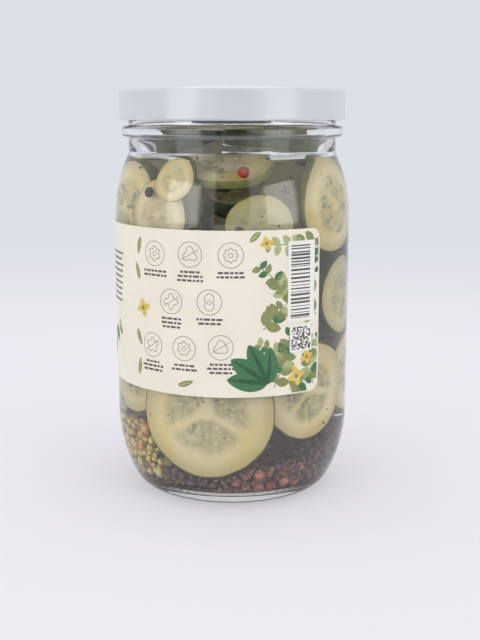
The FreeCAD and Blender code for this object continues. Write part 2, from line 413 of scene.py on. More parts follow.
def add_piece(name, mesh, material, replaced=()):
    """Puts a mesh into the scene as a piece of the jar."""
    mesh.materials.append(material)
    piece = bpy.data.objects.new(name, mesh)
    bpy.context.scene.collection.objects.link(piece)
    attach(piece, "root")
    if replaced:
        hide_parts(*replaced)
    print(f"{name}: {len(mesh.vertices)} points, {len(mesh.polygons)} faces")


# %% [markdown]
# ## The outline of the glass
# A jar is blown in a mould and is round, so its shape is one outline turned about the axis. The outline is
# made of runs: arcs given by their centre, radius and angles, and corners eased by a rounding. The same
# functions give the outside and, moved in by the wall, the inside, which the brine needs too.

# %% Outline helpers


def arc_run(centre, radius, start, end, steps):
    """Points of an arc: centre plus radius times (cosine, sine) of angles from start to end, in degrees."""
    angle = np.radians(np.linspace(start, end, steps))
    return np.stack([centre[0] + radius * np.cos(angle), centre[1] + radius * np.sin(angle)], axis=-1)


def eased_run(corners, steps=5):
    """Points through corners of (radius, height, rounding), eased by arcs tangent to both sides."""
    run = [np.array(corners[0][:2])[None]]
    for before, here, after in zip(corners, corners[1:], corners[2:]):
        point = np.array(here[:2])
        back = np.array(before[:2]) - point
        ahead = np.array(after[:2]) - point
        back, ahead = back / np.linalg.norm(back), ahead / np.linalg.norm(ahead)
        if here[2] == 0.0:
            run.append(point[None])
            continue
        half = math.acos(np.clip(back @ ahead, -1.0, 1.0)) / 2.0
        reach = here[2] / math.tan(half)
        share = np.linspace(0.0, 1.0, steps)[:, None]
        chord = (1.0 - share) * (point + back * reach) + share * (point + ahead * reach)
        centre = point + (back + ahead) / np.linalg.norm(back + ahead) * (here[2] / math.sin(half))
        away = chord - centre
        run.append(centre + away / np.linalg.norm(away, axis=1)[:, None] * here[2])
    run.append(np.array(corners[-1][:2])[None])
    return np.concatenate(run)


def lower_run(offset, corner_radius, floor):
    """From the level floor out round the corner and up the heel to the wall, moved in by offset."""
    heel = (BODY_RADIUS - HEEL_RADIUS, HEEL_TOP)
    radius = HEEL_RADIUS - offset
    turn = math.asin((HEEL_TOP - floor - corner_radius) / (radius - corner_radius))
    corner = (heel[0] + (radius - corner_radius) * math.cos(turn), floor + corner_radius)
    turn = math.degrees(turn)
    return np.concatenate([
        arc_run(corner, corner_radius, -90.0, -turn, 14),
        arc_run(heel, radius, -turn, 0.0, 18)[1:],
    ])


def upper_run(offset):
    """From the top of the wall round the shoulder and the hollow curve to the foot of the neck."""
    reach = SHOULDER_RADIUS + NECK_CURVE
    rise = math.sqrt(reach ** 2 - (reach - SHOULDER_DEPTH) ** 2)
    shoulder = (BODY_RADIUS - SHOULDER_RADIUS, NECK_FOOT - rise)
    hollow = (NECK_RADIUS + NECK_CURVE, NECK_FOOT)
    turn = math.degrees(math.atan2(rise, hollow[0] - shoulder[0]))
    return np.concatenate([
        arc_run(shoulder, SHOULDER_RADIUS - offset, 0.0, turn, 16),
        arc_run(hollow, NECK_CURVE + offset, 180.0 + turn, 180.0, 7)[1:],
    ])


def wall_run(lower, upper, steps=22):
    """The lower run, the straight wall in steps, and the upper run, as one run."""
    height = np.linspace(lower[-1][1], upper[0][1], steps)[1:-1]
    wall = np.stack([np.full(len(height), lower[-1][0]), height], axis=-1)
    return np.concatenate([lower, wall, upper])


def dome_run(edge, middle_height, steps=9):
    """From near the axis out to an edge point, along a parabola that is flat at the axis."""
    share = np.linspace(0.0, 1.0, steps)[1:-1]
    height = middle_height + (edge[1] - middle_height) * share ** 2
    return np.stack([edge[0] * share, height], axis=-1)


def about_axis(azimuth, reach, height):
    """Points at azimuths counted from -Y towards +X, at a reach from the axis and at a height."""
    places = np.broadcast_arrays(reach * np.sin(azimuth), -reach * np.cos(azimuth), height)
    return np.stack(places, axis=-1)


def turned(outline, columns_at):
    """Points of the outline turned about the axis, at the given azimuths."""
    return about_axis(columns_at[None], outline[:, :1], outline[:, 1:])


INNER = wall_run(lower_run(WALL, FLOOR_CORNER, FLOOR), upper_run(WALL))


def inner_radius(height):
    """Inner radius of the glass at a height, read off the inner outline."""
    return np.interp(height, INNER[:, 1], INNER[:, 0])


print("the jar holds brine up to radius", round(float(inner_radius(BRINE_LEVEL)), 1), "mm at its surface")

# %% [markdown]
# ## The glass
# Moulded glass isn't optically perfect: its inside, shaped by air, ripples by a tenth of a millimetre, and
# bends what is seen through it. Two fine seams run up the sides where the mould closed, and the foot ring has
# a row of small knurls, so that hot jars don't stick. They are added to the outline's radius or height as it
# is turned, and the jar is one closed skin from the middle of the underside to the middle of the floor.

# %% Glass jar
SIDES = 256
GLASS_SHADE = colour(253, 254, 253)
SEAM_HEIGHT, SEAM_WIDTH = 0.10, 0.35
RIPPLE = 0.10
KNURLS, KNURL_DEPTH, KNURL_WIDTH, KNURL_TOP = 64, 0.22, 1.6, 2.0
BEAD_EASE, BEAD_ROUND, THREAD_EASE, LIP_STEP, LIP_ROUND = 0.6, 1.2, 0.5, 0.4, 0.9


def glass_azimuths():
    """Even azimuths, with a few more close to the two seams at the sides."""
    even = np.linspace(0.0, 2.0 * math.pi, SIDES, endpoint=False)
    near = np.array([-0.6, -0.3, 0.3, 0.6]) * 2.0 / BODY_RADIUS
    extra = np.concatenate([math.pi / 2.0 + near, 3.0 * math.pi / 2.0 + near])
    return np.sort(np.concatenate([even, extra]))


def glass_outline():
    """The whole outline and, for each point, whether it is on the outside."""
    lower = lower_run(0.0, FOOT_RADIUS, 0.0)
    ring = (lower[0][0] - FOOT_FLAT, FOOT_INNER_RADIUS)
    inner_foot = arc_run(ring, FOOT_INNER_RADIUS, -150.0, -90.0, 6)[:-1]
    under = dome_run(inner_foot[0], PUSH_UP)
    bead_top = LID_FOOT - BEAD_GAP
    bead_foot = bead_top - BEAD_WIDTH
    bead_radius = NECK_RADIUS + BEAD_DEPTH
    thread_foot = LID_FOOT + LID_HEM
    thread_top = thread_foot + THREAD_WIDTH
    bore = NECK_RADIUS - WALL
    neck = eased_run([
        (NECK_RADIUS, NECK_FOOT, 0.0),
        (NECK_RADIUS, bead_foot, BEAD_EASE),
        (bead_radius, bead_foot, BEAD_ROUND),
        (bead_radius, bead_top, BEAD_ROUND),
        (NECK_RADIUS, bead_top, BEAD_EASE),
        (NECK_RADIUS, thread_foot, 0.0),
        (NECK_RADIUS, thread_foot + THREAD_EASE, 0.0),
        (NECK_RADIUS, thread_top - THREAD_EASE, 0.0),
        (NECK_RADIUS, thread_top, 0.0),
        (NECK_RADIUS - LIP_STEP, RIM, LIP_ROUND),
        (bore, RIM, LIP_ROUND),
        (bore, (RIM + NECK_FOOT) / 2.0, 0.0),
        (bore, NECK_FOOT, 0.0),
    ], steps=7)[1:-1]
    outside = np.concatenate([under, inner_foot, wall_run(lower, upper_run(0.0)), neck])
    inside = np.concatenate([INNER[::-1], dome_run(INNER[0], FLOOR + FLOOR_DOME)[::-1]])
    flags = np.concatenate([np.ones(len(outside)), np.zeros(len(inside))])
    return np.concatenate([outside, inside]), flags


def ripple(azimuth, height):
    """A slow unevenness between -1 and 1: a mean of waves round the jar and up it."""
    waves = ((2, 0.021, 0.3), (3, -0.034, 1.7), (5, 0.052, 4.1), (7, -0.083, 2.2))
    total = 0.0
    for turns, climb, phase in waves:
        total = total + np.sin(turns * azimuth + climb * math.pi * height + phase)
    return total / len(waves)


def make_glass_points():
    """The turned outline, with ripples inside, and seams, knurls and threads outside."""
    outline, outside = glass_outline()
    azimuth = glass_azimuths()
    points = turned(outline, azimuth)
    radius, height = outline[:, :1], outline[:, 1:]
    angle = azimuth[None]
    outer = outside[:, None]
    body = (radius > FLOOR_CORNER) & (height > FLOOR_CORNER)
    change = -RIPPLE * ripple(angle, height) * (1.0 - outer) * body
    seam_distance = np.abs(np.abs(np.abs(angle - math.pi) - math.pi / 2.0)) * BODY_RADIUS
    on_wall = outer * (height > HEEL_TOP / 2.0) * (height < NECK_FOOT)
    change = change + on_wall * (SEAM_HEIGHT * np.exp(-(seam_distance / SEAM_WIDTH) ** 2) - SEAM_HEIGHT)
    thread_middle = LID_FOOT + LID_HEM + THREAD_WIDTH / 2.0
    in_thread = np.abs(height - thread_middle) < THREAD_WIDTH / 2.0 - 0.1
    turn = np.degrees(angle) % (360.0 / THREADS)
    from_middle = np.minimum(turn, 360.0 / THREADS - turn)
    fade = np.clip(THREAD_ANGLE / 2.0 - from_middle, 0.0, 2.0)
    change = change + outer * in_thread * THREAD_DEPTH * fade / 2.0
    scale = (radius + change) / radius
    points[..., :2] *= scale[..., None]
    ring_radius = outline[np.argmin(outline[:, 1]), 0]
    foot_ring = outer * np.exp(-((radius - ring_radius) / KNURL_WIDTH) ** 2) * (height < KNURL_TOP)
    points[..., 2] += KNURL_DEPTH * foot_ring * (0.5 - 0.5 * np.cos(KNURLS * angle))
    poles = np.array([[0.0, 0.0, PUSH_UP], [0.0, 0.0, FLOOR + FLOOR_DOME]])
    return np.concatenate([points.reshape(-1, 3), poles]), points.shape[:2]


def clear_glass():
    """Clear glass with a faint green tint and a very slightly uneven gloss. It hardly holds lamps back."""
    finish = Finish("clear glass")
    smear = finish.noise(finish.place(), 60.0, 3.0).step(0.45, 0.85)
    shader = finish.surface(
        base_color=colour(254, 255, 254),
        roughness=smear * 0.02,
        ior=1.5,
        transmission_weight=1.0,
    )
    return finish.done(finish.let_lamps_through(shader, GLASS_SHADE))


glass_points, (glass_rows, glass_columns) = make_glass_points()
glass_mesh = make_mesh("jar_glass", glass_points, skin_of(glass_rows, glass_columns))
add_piece("jar_glass", glass_mesh, clear_glass(), ("glass_jar",))

# %% [markdown]
# ## The brine
# The brine fills the glass. If its skin and the inside of the glass lay at the same place, a renderer could
# not tell which comes first, and if it stopped short an air gap would show like silver. So the skin lies a
# quarter of a millimetre inside the wall of glass. At the top the brine climbs the wall a little, by under a
# millimetre.

# %% Brine
BITE = 0.25
CLIMB, CLIMB_WIDTH = 0.7, 1.2


def brine_outline():
    """Up the wall from the floor, over the climbing edge and in along the level surface to the axis."""
    offset = WALL - BITE
    body = wall_run(lower_run(offset, FLOOR_CORNER + BITE, FLOOR - BITE), upper_run(offset))
    top = BRINE_LEVEL + CLIMB
    edge = float(np.interp(top, body[:, 1], body[:, 0]))
    wall = body[body[:, 1] < top - 0.3]
    inwards = np.array([0.0, BITE, 0.6, 1.0, 1.5, 2.1, 2.8, 3.7, 5.0, 7.0, 10.0, 15.0, 22.0, 30.0])
    height = BRINE_LEVEL + CLIMB * np.exp(-np.maximum(inwards - BITE, 0.0) / CLIMB_WIDTH)
    surface = np.stack([edge - inwards, height], axis=-1)
    floor = dome_run(body[0], FLOOR + FLOOR_DOME - BITE)
    return np.concatenate([floor, wall, surface])


def pale_brine():
    """Clear salted water with a faint yellow tint."""
    finish = Finish("pale brine")
    cloud = finish.noise(finish.place(), 45.0, 2.0)
    tint = finish.blend(cloud, colour(254, 253, 244), colour(252, 250, 238))
    shader = finish.surface(base_color=tint, roughness=0.0, ior=1.34, transmission_weight=1.0)
    return finish.done(finish.let_lamps_through(shader, colour(254, 253, 247)))


brine_turn = np.linspace(0.0, 2.0 * math.pi, SIDES, endpoint=False)
brine_profile = brine_outline()
brine_points = np.concatenate([
    turned(brine_profile, brine_turn).reshape(-1, 3),
    [[0.0, 0.0, FLOOR + FLOOR_DOME - BITE], [0.0, 0.0, BRINE_LEVEL]],
])
brine_mesh = make_mesh("brine_body", brine_points, skin_of(len(brine_profile), SIDES))
add_piece("brine_body", brine_mesh, pale_brine(), ("brine",))

# %% [markdown]
# ## One pickle slice
# A slice is a disc cut across a cucumber. Its outline is a little lobed, its faces are sunken where the three
# seed chambers lie, and it is bent, because it has lain against other slices. A slice's surface is a grid:
# columns go round it, and rows run from the middle of one face over the skin to the middle of the other.

# %% Slice shape
SLICE_COLUMNS = 72
FACE_SHARES = np.array([0.06, 0.14, 0.22, 0.30, 0.38, 0.46, 0.54, 0.62, 0.71, 0.80, 0.88, 0.94])
EDGE_SHARES = np.array([0.975, 0.993, 1.0, 1.004, 1.0, 0.993, 0.975])
EDGE_HEIGHTS = np.array([0.97, 0.80, 0.45, 0.0, -0.45, -0.80, -0.97])
CHAMBERS = 3
CHAMBER_AT, CHAMBER_WIDTH = 0.38, 0.17


class SliceShape:
    """The uneven shape of one slice: sizes of its waves and bends, drawn once from a random source."""

    def __init__(self, radius, thickness, rng):
        self.radius = radius
        self.thickness = thickness
        self.phase = rng.uniform(0.0, 2.0 * math.pi, 6)
        self.size = rng.uniform(0.3, 1.0, 4)
        self.saddle = rng.uniform(-0.9, 0.9)
        self.cup = rng.uniform(-0.6, 0.6)

    def rim(self, angle):
        """The radius in each direction: waves of two, three and five lobes, and a fine one of seventeen."""
        rim = 1.0 + 0.024 * self.size[0] * np.cos(2.0 * angle + self.phase[0])
        rim = rim + 0.016 * self.size[1] * np.cos(3.0 * angle + self.phase[1])
        rim = rim + 0.007 * self.size[2] * np.cos(5.0 * angle + self.phase[2])
        return self.radius * (rim + 0.003 * np.cos(17.0 * angle + self.phase[3]))

    def sink(self, share, angle):
        """How far the face lies below its flat: broad hollows in the chambers, with small pits in them."""
        lobes = 0.55 + 0.45 * np.cos(CHAMBERS * angle)
        chamber = np.exp(-((share - CHAMBER_AT) / CHAMBER_WIDTH) ** 2) * lobes
        pits = 0.5 + 0.5 * np.sin(13.0 * angle + 11.0 * share + self.phase[3])
        waves = 0.07 * np.sin(6.0 * angle + 5.0 * share + self.phase[4])
        return 0.38 * chamber + 0.20 * chamber * pits + waves

    def bend(self, share, angle):
        """How far the whole slice is bent there: a saddle and a cup that grow with share squared."""
        return share ** 2 * (self.saddle * np.cos(2.0 * angle + self.phase[5]) + self.cup)

    def on_face(self, share, angle):
        """Points on the upper face, in the slice's own plane."""
        reach = self.rim(angle) * share
        height = self.thickness / 2.0 - self.sink(share, angle) + self.bend(share, angle)
        return np.stack([reach * np.cos(angle), reach * np.sin(angle), height], axis=-1)

    def skin(self):
        """All points of the slice and their flat map, with the middles of the two faces last."""
        shares = np.concatenate([FACE_SHARES, EDGE_SHARES, FACE_SHARES[::-1]])[:, None]
        count = len(FACE_SHARES)
        sides = np.concatenate([np.ones(count), EDGE_HEIGHTS, -np.ones(count)])[:, None]
        angle = np.linspace(0.0, 2.0 * math.pi, SLICE_COLUMNS, endpoint=False)[None]
        reach = self.rim(angle) * shares
        sunk = self.sink(shares, angle) * (shares < 0.95)
        height = sides * (self.thickness / 2.0 - sunk) + self.bend(shares, angle)
        points = np.stack([reach * np.cos(angle), reach * np.sin(angle), height], axis=-1).reshape(-1, 3)
        flat = np.stack([shares * np.cos(angle), shares * np.sin(angle)], axis=-1).reshape(-1, 2)
        middles = np.array([[0.0, 0.0, self.thickness / 2.0], [0.0, 0.0, -self.thickness / 2.0]])
        return np.concatenate([points, middles]), np.concatenate([flat, np.zeros((2, 2))])


SLICE_ROWS = 2 * len(FACE_SHARES) + len(EDGE_SHARES)
SLICE_FACES = skin_of(SLICE_ROWS, SLICE_COLUMNS)
print("a slice has", sum(len(part) for part in SLICE_FACES), "faces")

# %% [markdown]
# ## Finding a free place
# Soft slices pressed against glass take its curve. So the ones at the wall are laid out on the unrolled wall,
# where a place is an azimuth, a height and a depth behind the glass. A chart keeps how deep the wall is
# covered already. A new slice is a flat disc on the unrolled wall: it leans on what is there, at the tilt
# that lets its middle come furthest out. Further in, slices are stiff discs, tested with sample points.

# %% Room for a slice
GLASS_GAP = 0.30
TOUCH = 0.15
HEAP_TOP = 16.0
FURTHEST = 38.0
CHART_STEP = 1.0
STEEPEST = 0.32
TILTS = np.linspace(-STEEPEST, STEEPEST, 9)
ALL_TILTS = np.stack(np.meshgrid(TILTS, TILTS), axis=-1).reshape(-1, 2)
chart = np.full((360, 140), GLASS_GAP)


def outward(azimuth):
    """The level direction away from the axis, at an azimuth in degrees from the front towards +X."""
    turn = math.radians(azimuth)
    return np.array([math.sin(turn), -math.cos(turn), 0.0])


def plane_turn(degrees):
    """The matrix that turns rows of (x, y) by an angle, anticlockwise."""
    turn = math.radians(degrees)
    return np.array([[math.cos(turn), math.sin(turn)], [-math.sin(turn), math.cos(turn)]])


def disc_samples(rings=5, columns=20):
    """Points spread over a disc of radius one."""
    share = np.linspace(0.0, 1.0, rings + 1)[1:, None]
    angle = np.linspace(0.0, 2.0 * math.pi, columns, endpoint=False)[None]
    spread = np.stack([share * np.cos(angle), share * np.sin(angle)], axis=-1).reshape(-1, 2)
    return np.concatenate([[[0.0, 0.0]], spread])


DISC = disc_samples()


def covered(azimuth, height):
    """How deep the wall is covered, in millimetres behind the glass, at azimuths in degrees."""
    row = np.floor(azimuth).astype(int) % 360
    column = np.clip(np.floor(height / CHART_STEP).astype(int), 0, chart.shape[1] - 1)
    return chart[row, column]


def on_wall(one, own):
    """Points of a wall slice: x goes round the jar, y up, and z towards the glass."""
    turned_own = own[:, :2] @ one["turn"]
    height = one["height"] + turned_own[:, 1]
    depth = one["depth"] + turned_own @ one["tilt"] - own[:, 2]
    angle = math.radians(one["azimuth"]) + turned_own[:, 0] / one["reach"]
    return about_axis(angle, inner_radius(height) - depth, height)


def wall_offsets(one, points):
    """For points in the jar: how far they lie from a wall slice's middle in its plane, and off its plane."""
    azimuth = np.arctan2(points[:, 0], -points[:, 1])
    apart = (azimuth - math.radians(one["azimuth"]) + math.pi) % (2.0 * math.pi) - math.pi
    flat = np.stack([apart * one["reach"], points[:, 2] - one["height"]], axis=-1)
    depth = inner_radius(points[:, 2]) - np.hypot(points[:, 0], points[:, 1])
    return np.linalg.norm(flat, axis=1), depth - one["depth"] - flat @ one["tilt"]


def lean(azimuth, height, radius, thickness, roll, tilt=None):
    """A slice laid on the covered wall, and the chart is raised by its thickness."""
    depth_here = float(covered(np.array(azimuth), np.array(height)))
    reach = float(inner_radius(height)) - thickness / 2.0 - depth_here
    flat = radius * DISC
    under = covered(azimuth + np.degrees(flat[:, 0] / reach), height + flat[:, 1])
    tilts = ALL_TILTS if tilt is None else np.array([tilt])
    depths = (under[None] - tilts @ flat.T).max(axis=1)
    best = int(np.argmin(depths))
    one = {
        "azimuth": azimuth, "height": height, "radius": radius, "thickness": thickness,
        "turn": plane_turn(roll), "tilt": tilts[best], "reach": reach, "at_wall": True,
        "depth": depths[best] + thickness / 2.0 + TOUCH,
    }
    rows, columns = np.meshgrid(np.arange(360), np.arange(chart.shape[1]), indexing="ij")
    away = ((rows + 0.5 - azimuth + 180.0) % 360.0 - 180.0) * math.radians(1.0) * reach
    rise = (columns + 0.5) * CHART_STEP - height
    inside = np.hypot(away, rise) < radius + 0.5
    back = one["depth"] + away * one["tilt"][0] + rise * one["tilt"][1] + thickness / 2.0 + TOUCH
    chart[inside] = np.maximum(chart[inside], back[inside])
    return one


def slice_axes(azimuth, yaw, pitch, roll):
    """Three unit vectors of a stiff slice: two in its plane, and its normal.

    The normal starts straight out from the axis, is turned by yaw round the vertical, then raised by pitch.
    """
    yaw, pitch, roll = np.radians([yaw, pitch, roll])
    level = math.cos(yaw) * outward(azimuth) + math.sin(yaw) * outward(azimuth + 90.0)
    up = np.array([0.0, 0.0, 1.0])
    normal = math.cos(pitch) * level + math.sin(pitch) * up
    across = np.cross(up, level)
    rise = np.cross(normal, across)
    first = math.cos(roll) * across + math.sin(roll) * rise
    return np.array([first, np.cross(normal, first), normal])


def in_slab(points, centre, normal, radius, half):
    """Which points lie within a disc of the given radius and half thickness."""
    away = points - centre
    height = away @ normal
    flat = away - height[..., None] * normal
    return (np.linalg.norm(flat, axis=-1) < radius + TOUCH) & (np.abs(height) < half)


def push_out(placed, azimuth, height, axes, radius, thickness, top, step, least=0.0):
    """The free place of a stiff slice furthest from the axis in the given direction, or nothing."""
    reach = np.arange(FURTHEST, least, -step)
    centres = reach[:, None] * outward(azimuth) + np.array([0.0, 0.0, height])
    disc = radius * DISC @ axes[:2]
    both = np.concatenate([disc + axes[2] * thickness / 2.0, disc - axes[2] * thickness / 2.0])
    faces = centres[:, None] + both[None]
    level = faces[..., 2]
    depth = inner_radius(level) - np.linalg.norm(faces[..., :2], axis=-1)
    around = np.degrees(np.arctan2(faces[..., 0], -faces[..., 1]))
    fits = (depth > covered(around, level)).all(axis=1)
    fits &= (level > HEAP_TOP).all(axis=1) & (level < BRINE_LEVEL + top).all(axis=1)
    for other in placed:
        left = np.nonzero(fits)[0]
        if len(left) == 0:
            return None
        if other["at_wall"]:
            continue
        kept = centres[left][:, None]
        half = (thickness + other["thickness"]) / 2.0
        normal = other["axes"][2]
        cuts = in_slab(kept + disc[None], other["centre"], normal, other["radius"], half)
        is_cut = in_slab(other["samples"][None], kept, axes[2], radius, half)
        fits[left[cuts.any(axis=1) | is_cut.any(axis=1)]] = False
    if not fits.any():
        return None
    centre = centres[int(np.argmax(fits))]
    return {
        "centre": centre, "axes": axes, "radius": radius, "thickness": thickness,
        "samples": centre + disc, "at_wall": False,
    }


def place(one, own, gap=GLASS_GAP):
    """Moves a slice's own points to where it lies in the jar, pressed flat where it meets the glass."""
    points = on_wall(one, own) if one["at_wall"] else own @ one["axes"] + one["centre"]
    reach = np.hypot(points[:, 0], points[:, 1])
    limit = inner_radius(points[:, 2]) - gap
    points[:, :2] *= np.minimum(1.0, limit / np.maximum(reach, 1.0))[:, None]
    return points


print(len(DISC), "sample points for each slice")

# %% [markdown]
# ## Packing the jar
# The slices that show best are listed one by one. Then the jar is filled from a fixed seed: first the rest of
# the wall, where the middle of a new slice goes to the least covered of a few random places, and then the
# inside, with stiff slices.

# %% Where the slices lie
# On the wall: azimuth from the front towards +X, height, radius, thickness, turn of the seed chambers, tilt
# round the jar and up it (or nothing, to lean by itself), tone of the flesh (0 warm, 1 green), darkness of
# the skin. A later one lies behind an earlier one.
WALL_SLICES = (
    (-13.0, 37.2, 25.0, 4.6, 30.0, (0.03, 0.02), 0.15, 0.7),
    (62.0, 109.6, 17.4, 4.2, 75.0, (-0.02, 0.0), 0.0, 0.3),
    (-31.5, 119.4, 7.6, 4.0, 10.0, (0.02, 0.10), 0.4, 0.6),
    (44.5, 42.5, 18.8, 4.4, 50.0, None, 0.0, 0.2),
    (-44.0, 106.5, 12.5, 4.0, 85.0, (0.10, -0.02), 0.0, 1.0),
    (-76.0, 108.0, 16.0, 4.4, 20.0, None, 0.05, 0.6),
    (72.0, 76.0, 15.0, 4.6, 65.0, (0.10, 0.02), 0.5, 0.9),
    (-64.0, 47.5, 16.0, 4.4, 40.0, None, 0.3, 0.5),
    (92.0, 44.0, 16.0, 4.6, 0.0, None, 0.2, 0.4),
    # The slices from here on lie round the back. Their greener flesh and darker skin are partly painted
    # shade, which darkens the gaps seen between the slices in front.
    (180.0, 106.5, 18.0, 4.6, 30.0, None, 0.9, 1.0),
    (143.0, 105.0, 17.0, 4.4, 80.0, None, 0.8, 0.9),
    (-143.0, 106.0, 17.0, 4.4, 0.0, None, 0.9, 0.8),
    (178.0, 37.0, 18.5, 4.6, 60.0, None, 0.7, 0.6),
    (141.0, 38.0, 17.0, 4.6, 15.0, None, 0.8, 0.8),
    (-141.0, 36.0, 17.0, 4.6, 95.0, None, 0.6, 0.9),
    (161.0, 84.0, 17.0, 4.4, 50.0, None, 0.8, 0.8),
    (-160.0, 82.0, 17.0, 4.4, 10.0, None, 0.9, 0.9),
)
# Stiff slices: azimuth, height, yaw, pitch, radius, thickness, how far it may rise above the brine, tone,
# darkness of the skin.
STIFF_SLICES = (
    (-7.0, 123.0, 0.0, 68.0, 16.0, 3.2, 5.0, 0.0, 0.1),
    (17.0, 102.5, -24.0, 24.0, 11.8, 4.6, -0.6, 1.0, 0.6),
    (-4.0, 109.5, 0.0, 80.0, 7.0, 5.0, -0.6, 1.0, 1.0),
    (-15.0, 101.0, 66.0, 0.0, 12.0, 4.2, -0.6, 0.8, 0.9),
    (32.0, 117.0, 20.0, 52.0, 9.5, 4.2, 1.0, 1.0, 0.9),
    (180.0, 124.0, 0.0, 66.0, 16.0, 4.6, 10.0, 0.5, 0.6),
    (50.0, 133.5, 0.0, 84.0, 17.0, 4.6, 14.0, 0.6, 0.9),
    (160.0, 134.5, 0.0, 80.0, 15.0, 4.6, 14.0, 0.6, 0.8),
    (-130.0, 133.0, 0.0, 78.0, 14.0, 4.6, 14.0, 0.8, 0.9),
    (-75.0, 120.0, 0.0, 78.0, 10.0, 4.4, 7.0, 0.2, 0.6),
    (95.0, 121.0, 0.0, 78.0, 10.0, 4.4, 7.0, 0.3, 0.7),
)
WALL_FILL, CHOICES, INSIDE_TRIES = 46, 24, 700
BACK, FRONT, FRONT_HEIGHTS, FRONT_WITHIN = (98.0, 262.0), (-60.0, 60.0), (64.0, 84.0), 70.0
DEEPEST = 13.0


def looks(rng):
    """Tone of the flesh and darkness of the skin of a slice that isn't placed by hand."""
    return {"tone": rng.uniform(0.0, 0.9), "dark": rng.uniform(0.2, 1.0)}


def fill_wall(placed, rng):
    """Slices leaning on the wall, behind the label and round the back. The others are listed."""
    for _ in range(WALL_FILL):
        radius, thickness = rng.uniform(13.0, 19.5), rng.uniform(3.8, 5.2)
        azimuth = rng.uniform(*BACK, CHOICES)
        azimuth[::3] = rng.uniform(*FRONT, len(azimuth[::3]))
        height = rng.uniform(HEAP_TOP + radius - 3.0, BRINE_LEVEL - radius - 0.5, CHOICES)
        in_front = np.abs((azimuth + 180.0) % 360.0 - 180.0) < FRONT_WITHIN
        height[in_front] = rng.uniform(*FRONT_HEIGHTS, in_front.sum())
        best = int(np.argmin(covered(azimuth, height)))
        roll = rng.uniform(0.0, 360.0)
        one = lean(float(azimuth[best]), float(height[best]), radius, thickness, roll)
        if one["depth"] < DEEPEST:
            placed.append(one | looks(rng))


def fill_inside(placed, rng):
    """Stiff slices anywhere, smaller as the jar gets full."""
    for attempt in range(INSIDE_TRIES):
        radius = rng.uniform(*((13.0, 19.0) if attempt < INSIDE_TRIES / 2 else (9.0, 14.0)))
        azimuth, height = rng.uniform(0.0, 360.0), rng.uniform(HEAP_TOP, BRINE_LEVEL - 3.0)
        yaw, pitch, roll = rng.normal(0.0, 25.0), rng.normal(0.0, 30.0), rng.uniform(0.0, 360.0)
        axes, thickness = slice_axes(azimuth, yaw, pitch, roll), rng.uniform(3.8, 4.8)
        found = push_out(placed, azimuth, height, axes, radius, thickness, -0.6, 2.0, -20.0)
        if found is not None:
            placed.append(found | looks(rng))


slice_rng = np.random.default_rng(7)
slices = []
for azimuth, height, radius, thickness, roll, tilt, tone, dark in WALL_SLICES:
    slices.append(lean(azimuth, height, radius, thickness, roll, tilt) | {"tone": tone, "dark": dark})
for azimuth, height, yaw, pitch, radius, thickness, top, tone, dark in STIFF_SLICES:
    axes = slice_axes(azimuth, yaw, pitch, slice_rng.uniform(0.0, 360.0))
    found = push_out(slices, azimuth, height, axes, radius, thickness, top, 0.25)
    if found is None:
        print("no room for the stiff slice at", azimuth, height)
    else:
        slices.append(found | {"tone": tone, "dark": dark})
shown_count = len(slices)
fill_wall(slices, slice_rng)
wall_count = len(slices) - shown_count
fill_inside(slices, slice_rng)
volume = sum(math.pi * one["radius"] ** 2 * one["thickness"] for one in slices)
print(f"{len(slices)} slices: {shown_count} placed by hand, {wall_count} more at the wall,",
      f"{volume / 1000.0:.0f} cm3")

# %% [markdown]
# ## The finish of a slice
# Every slice has the same flat map, from -1 to 1 across its face, so one finish serves them all. The distance
# from the middle gives the flesh, the greener ring under the skin and the skin. The cosine of three times the
# angle splits the middle into three seed chambers of clear grey-green jelly, with pale ribs between them.

# %% Slice finish
SKIN_AT = 0.970
RIB_WIDTH = 0.03


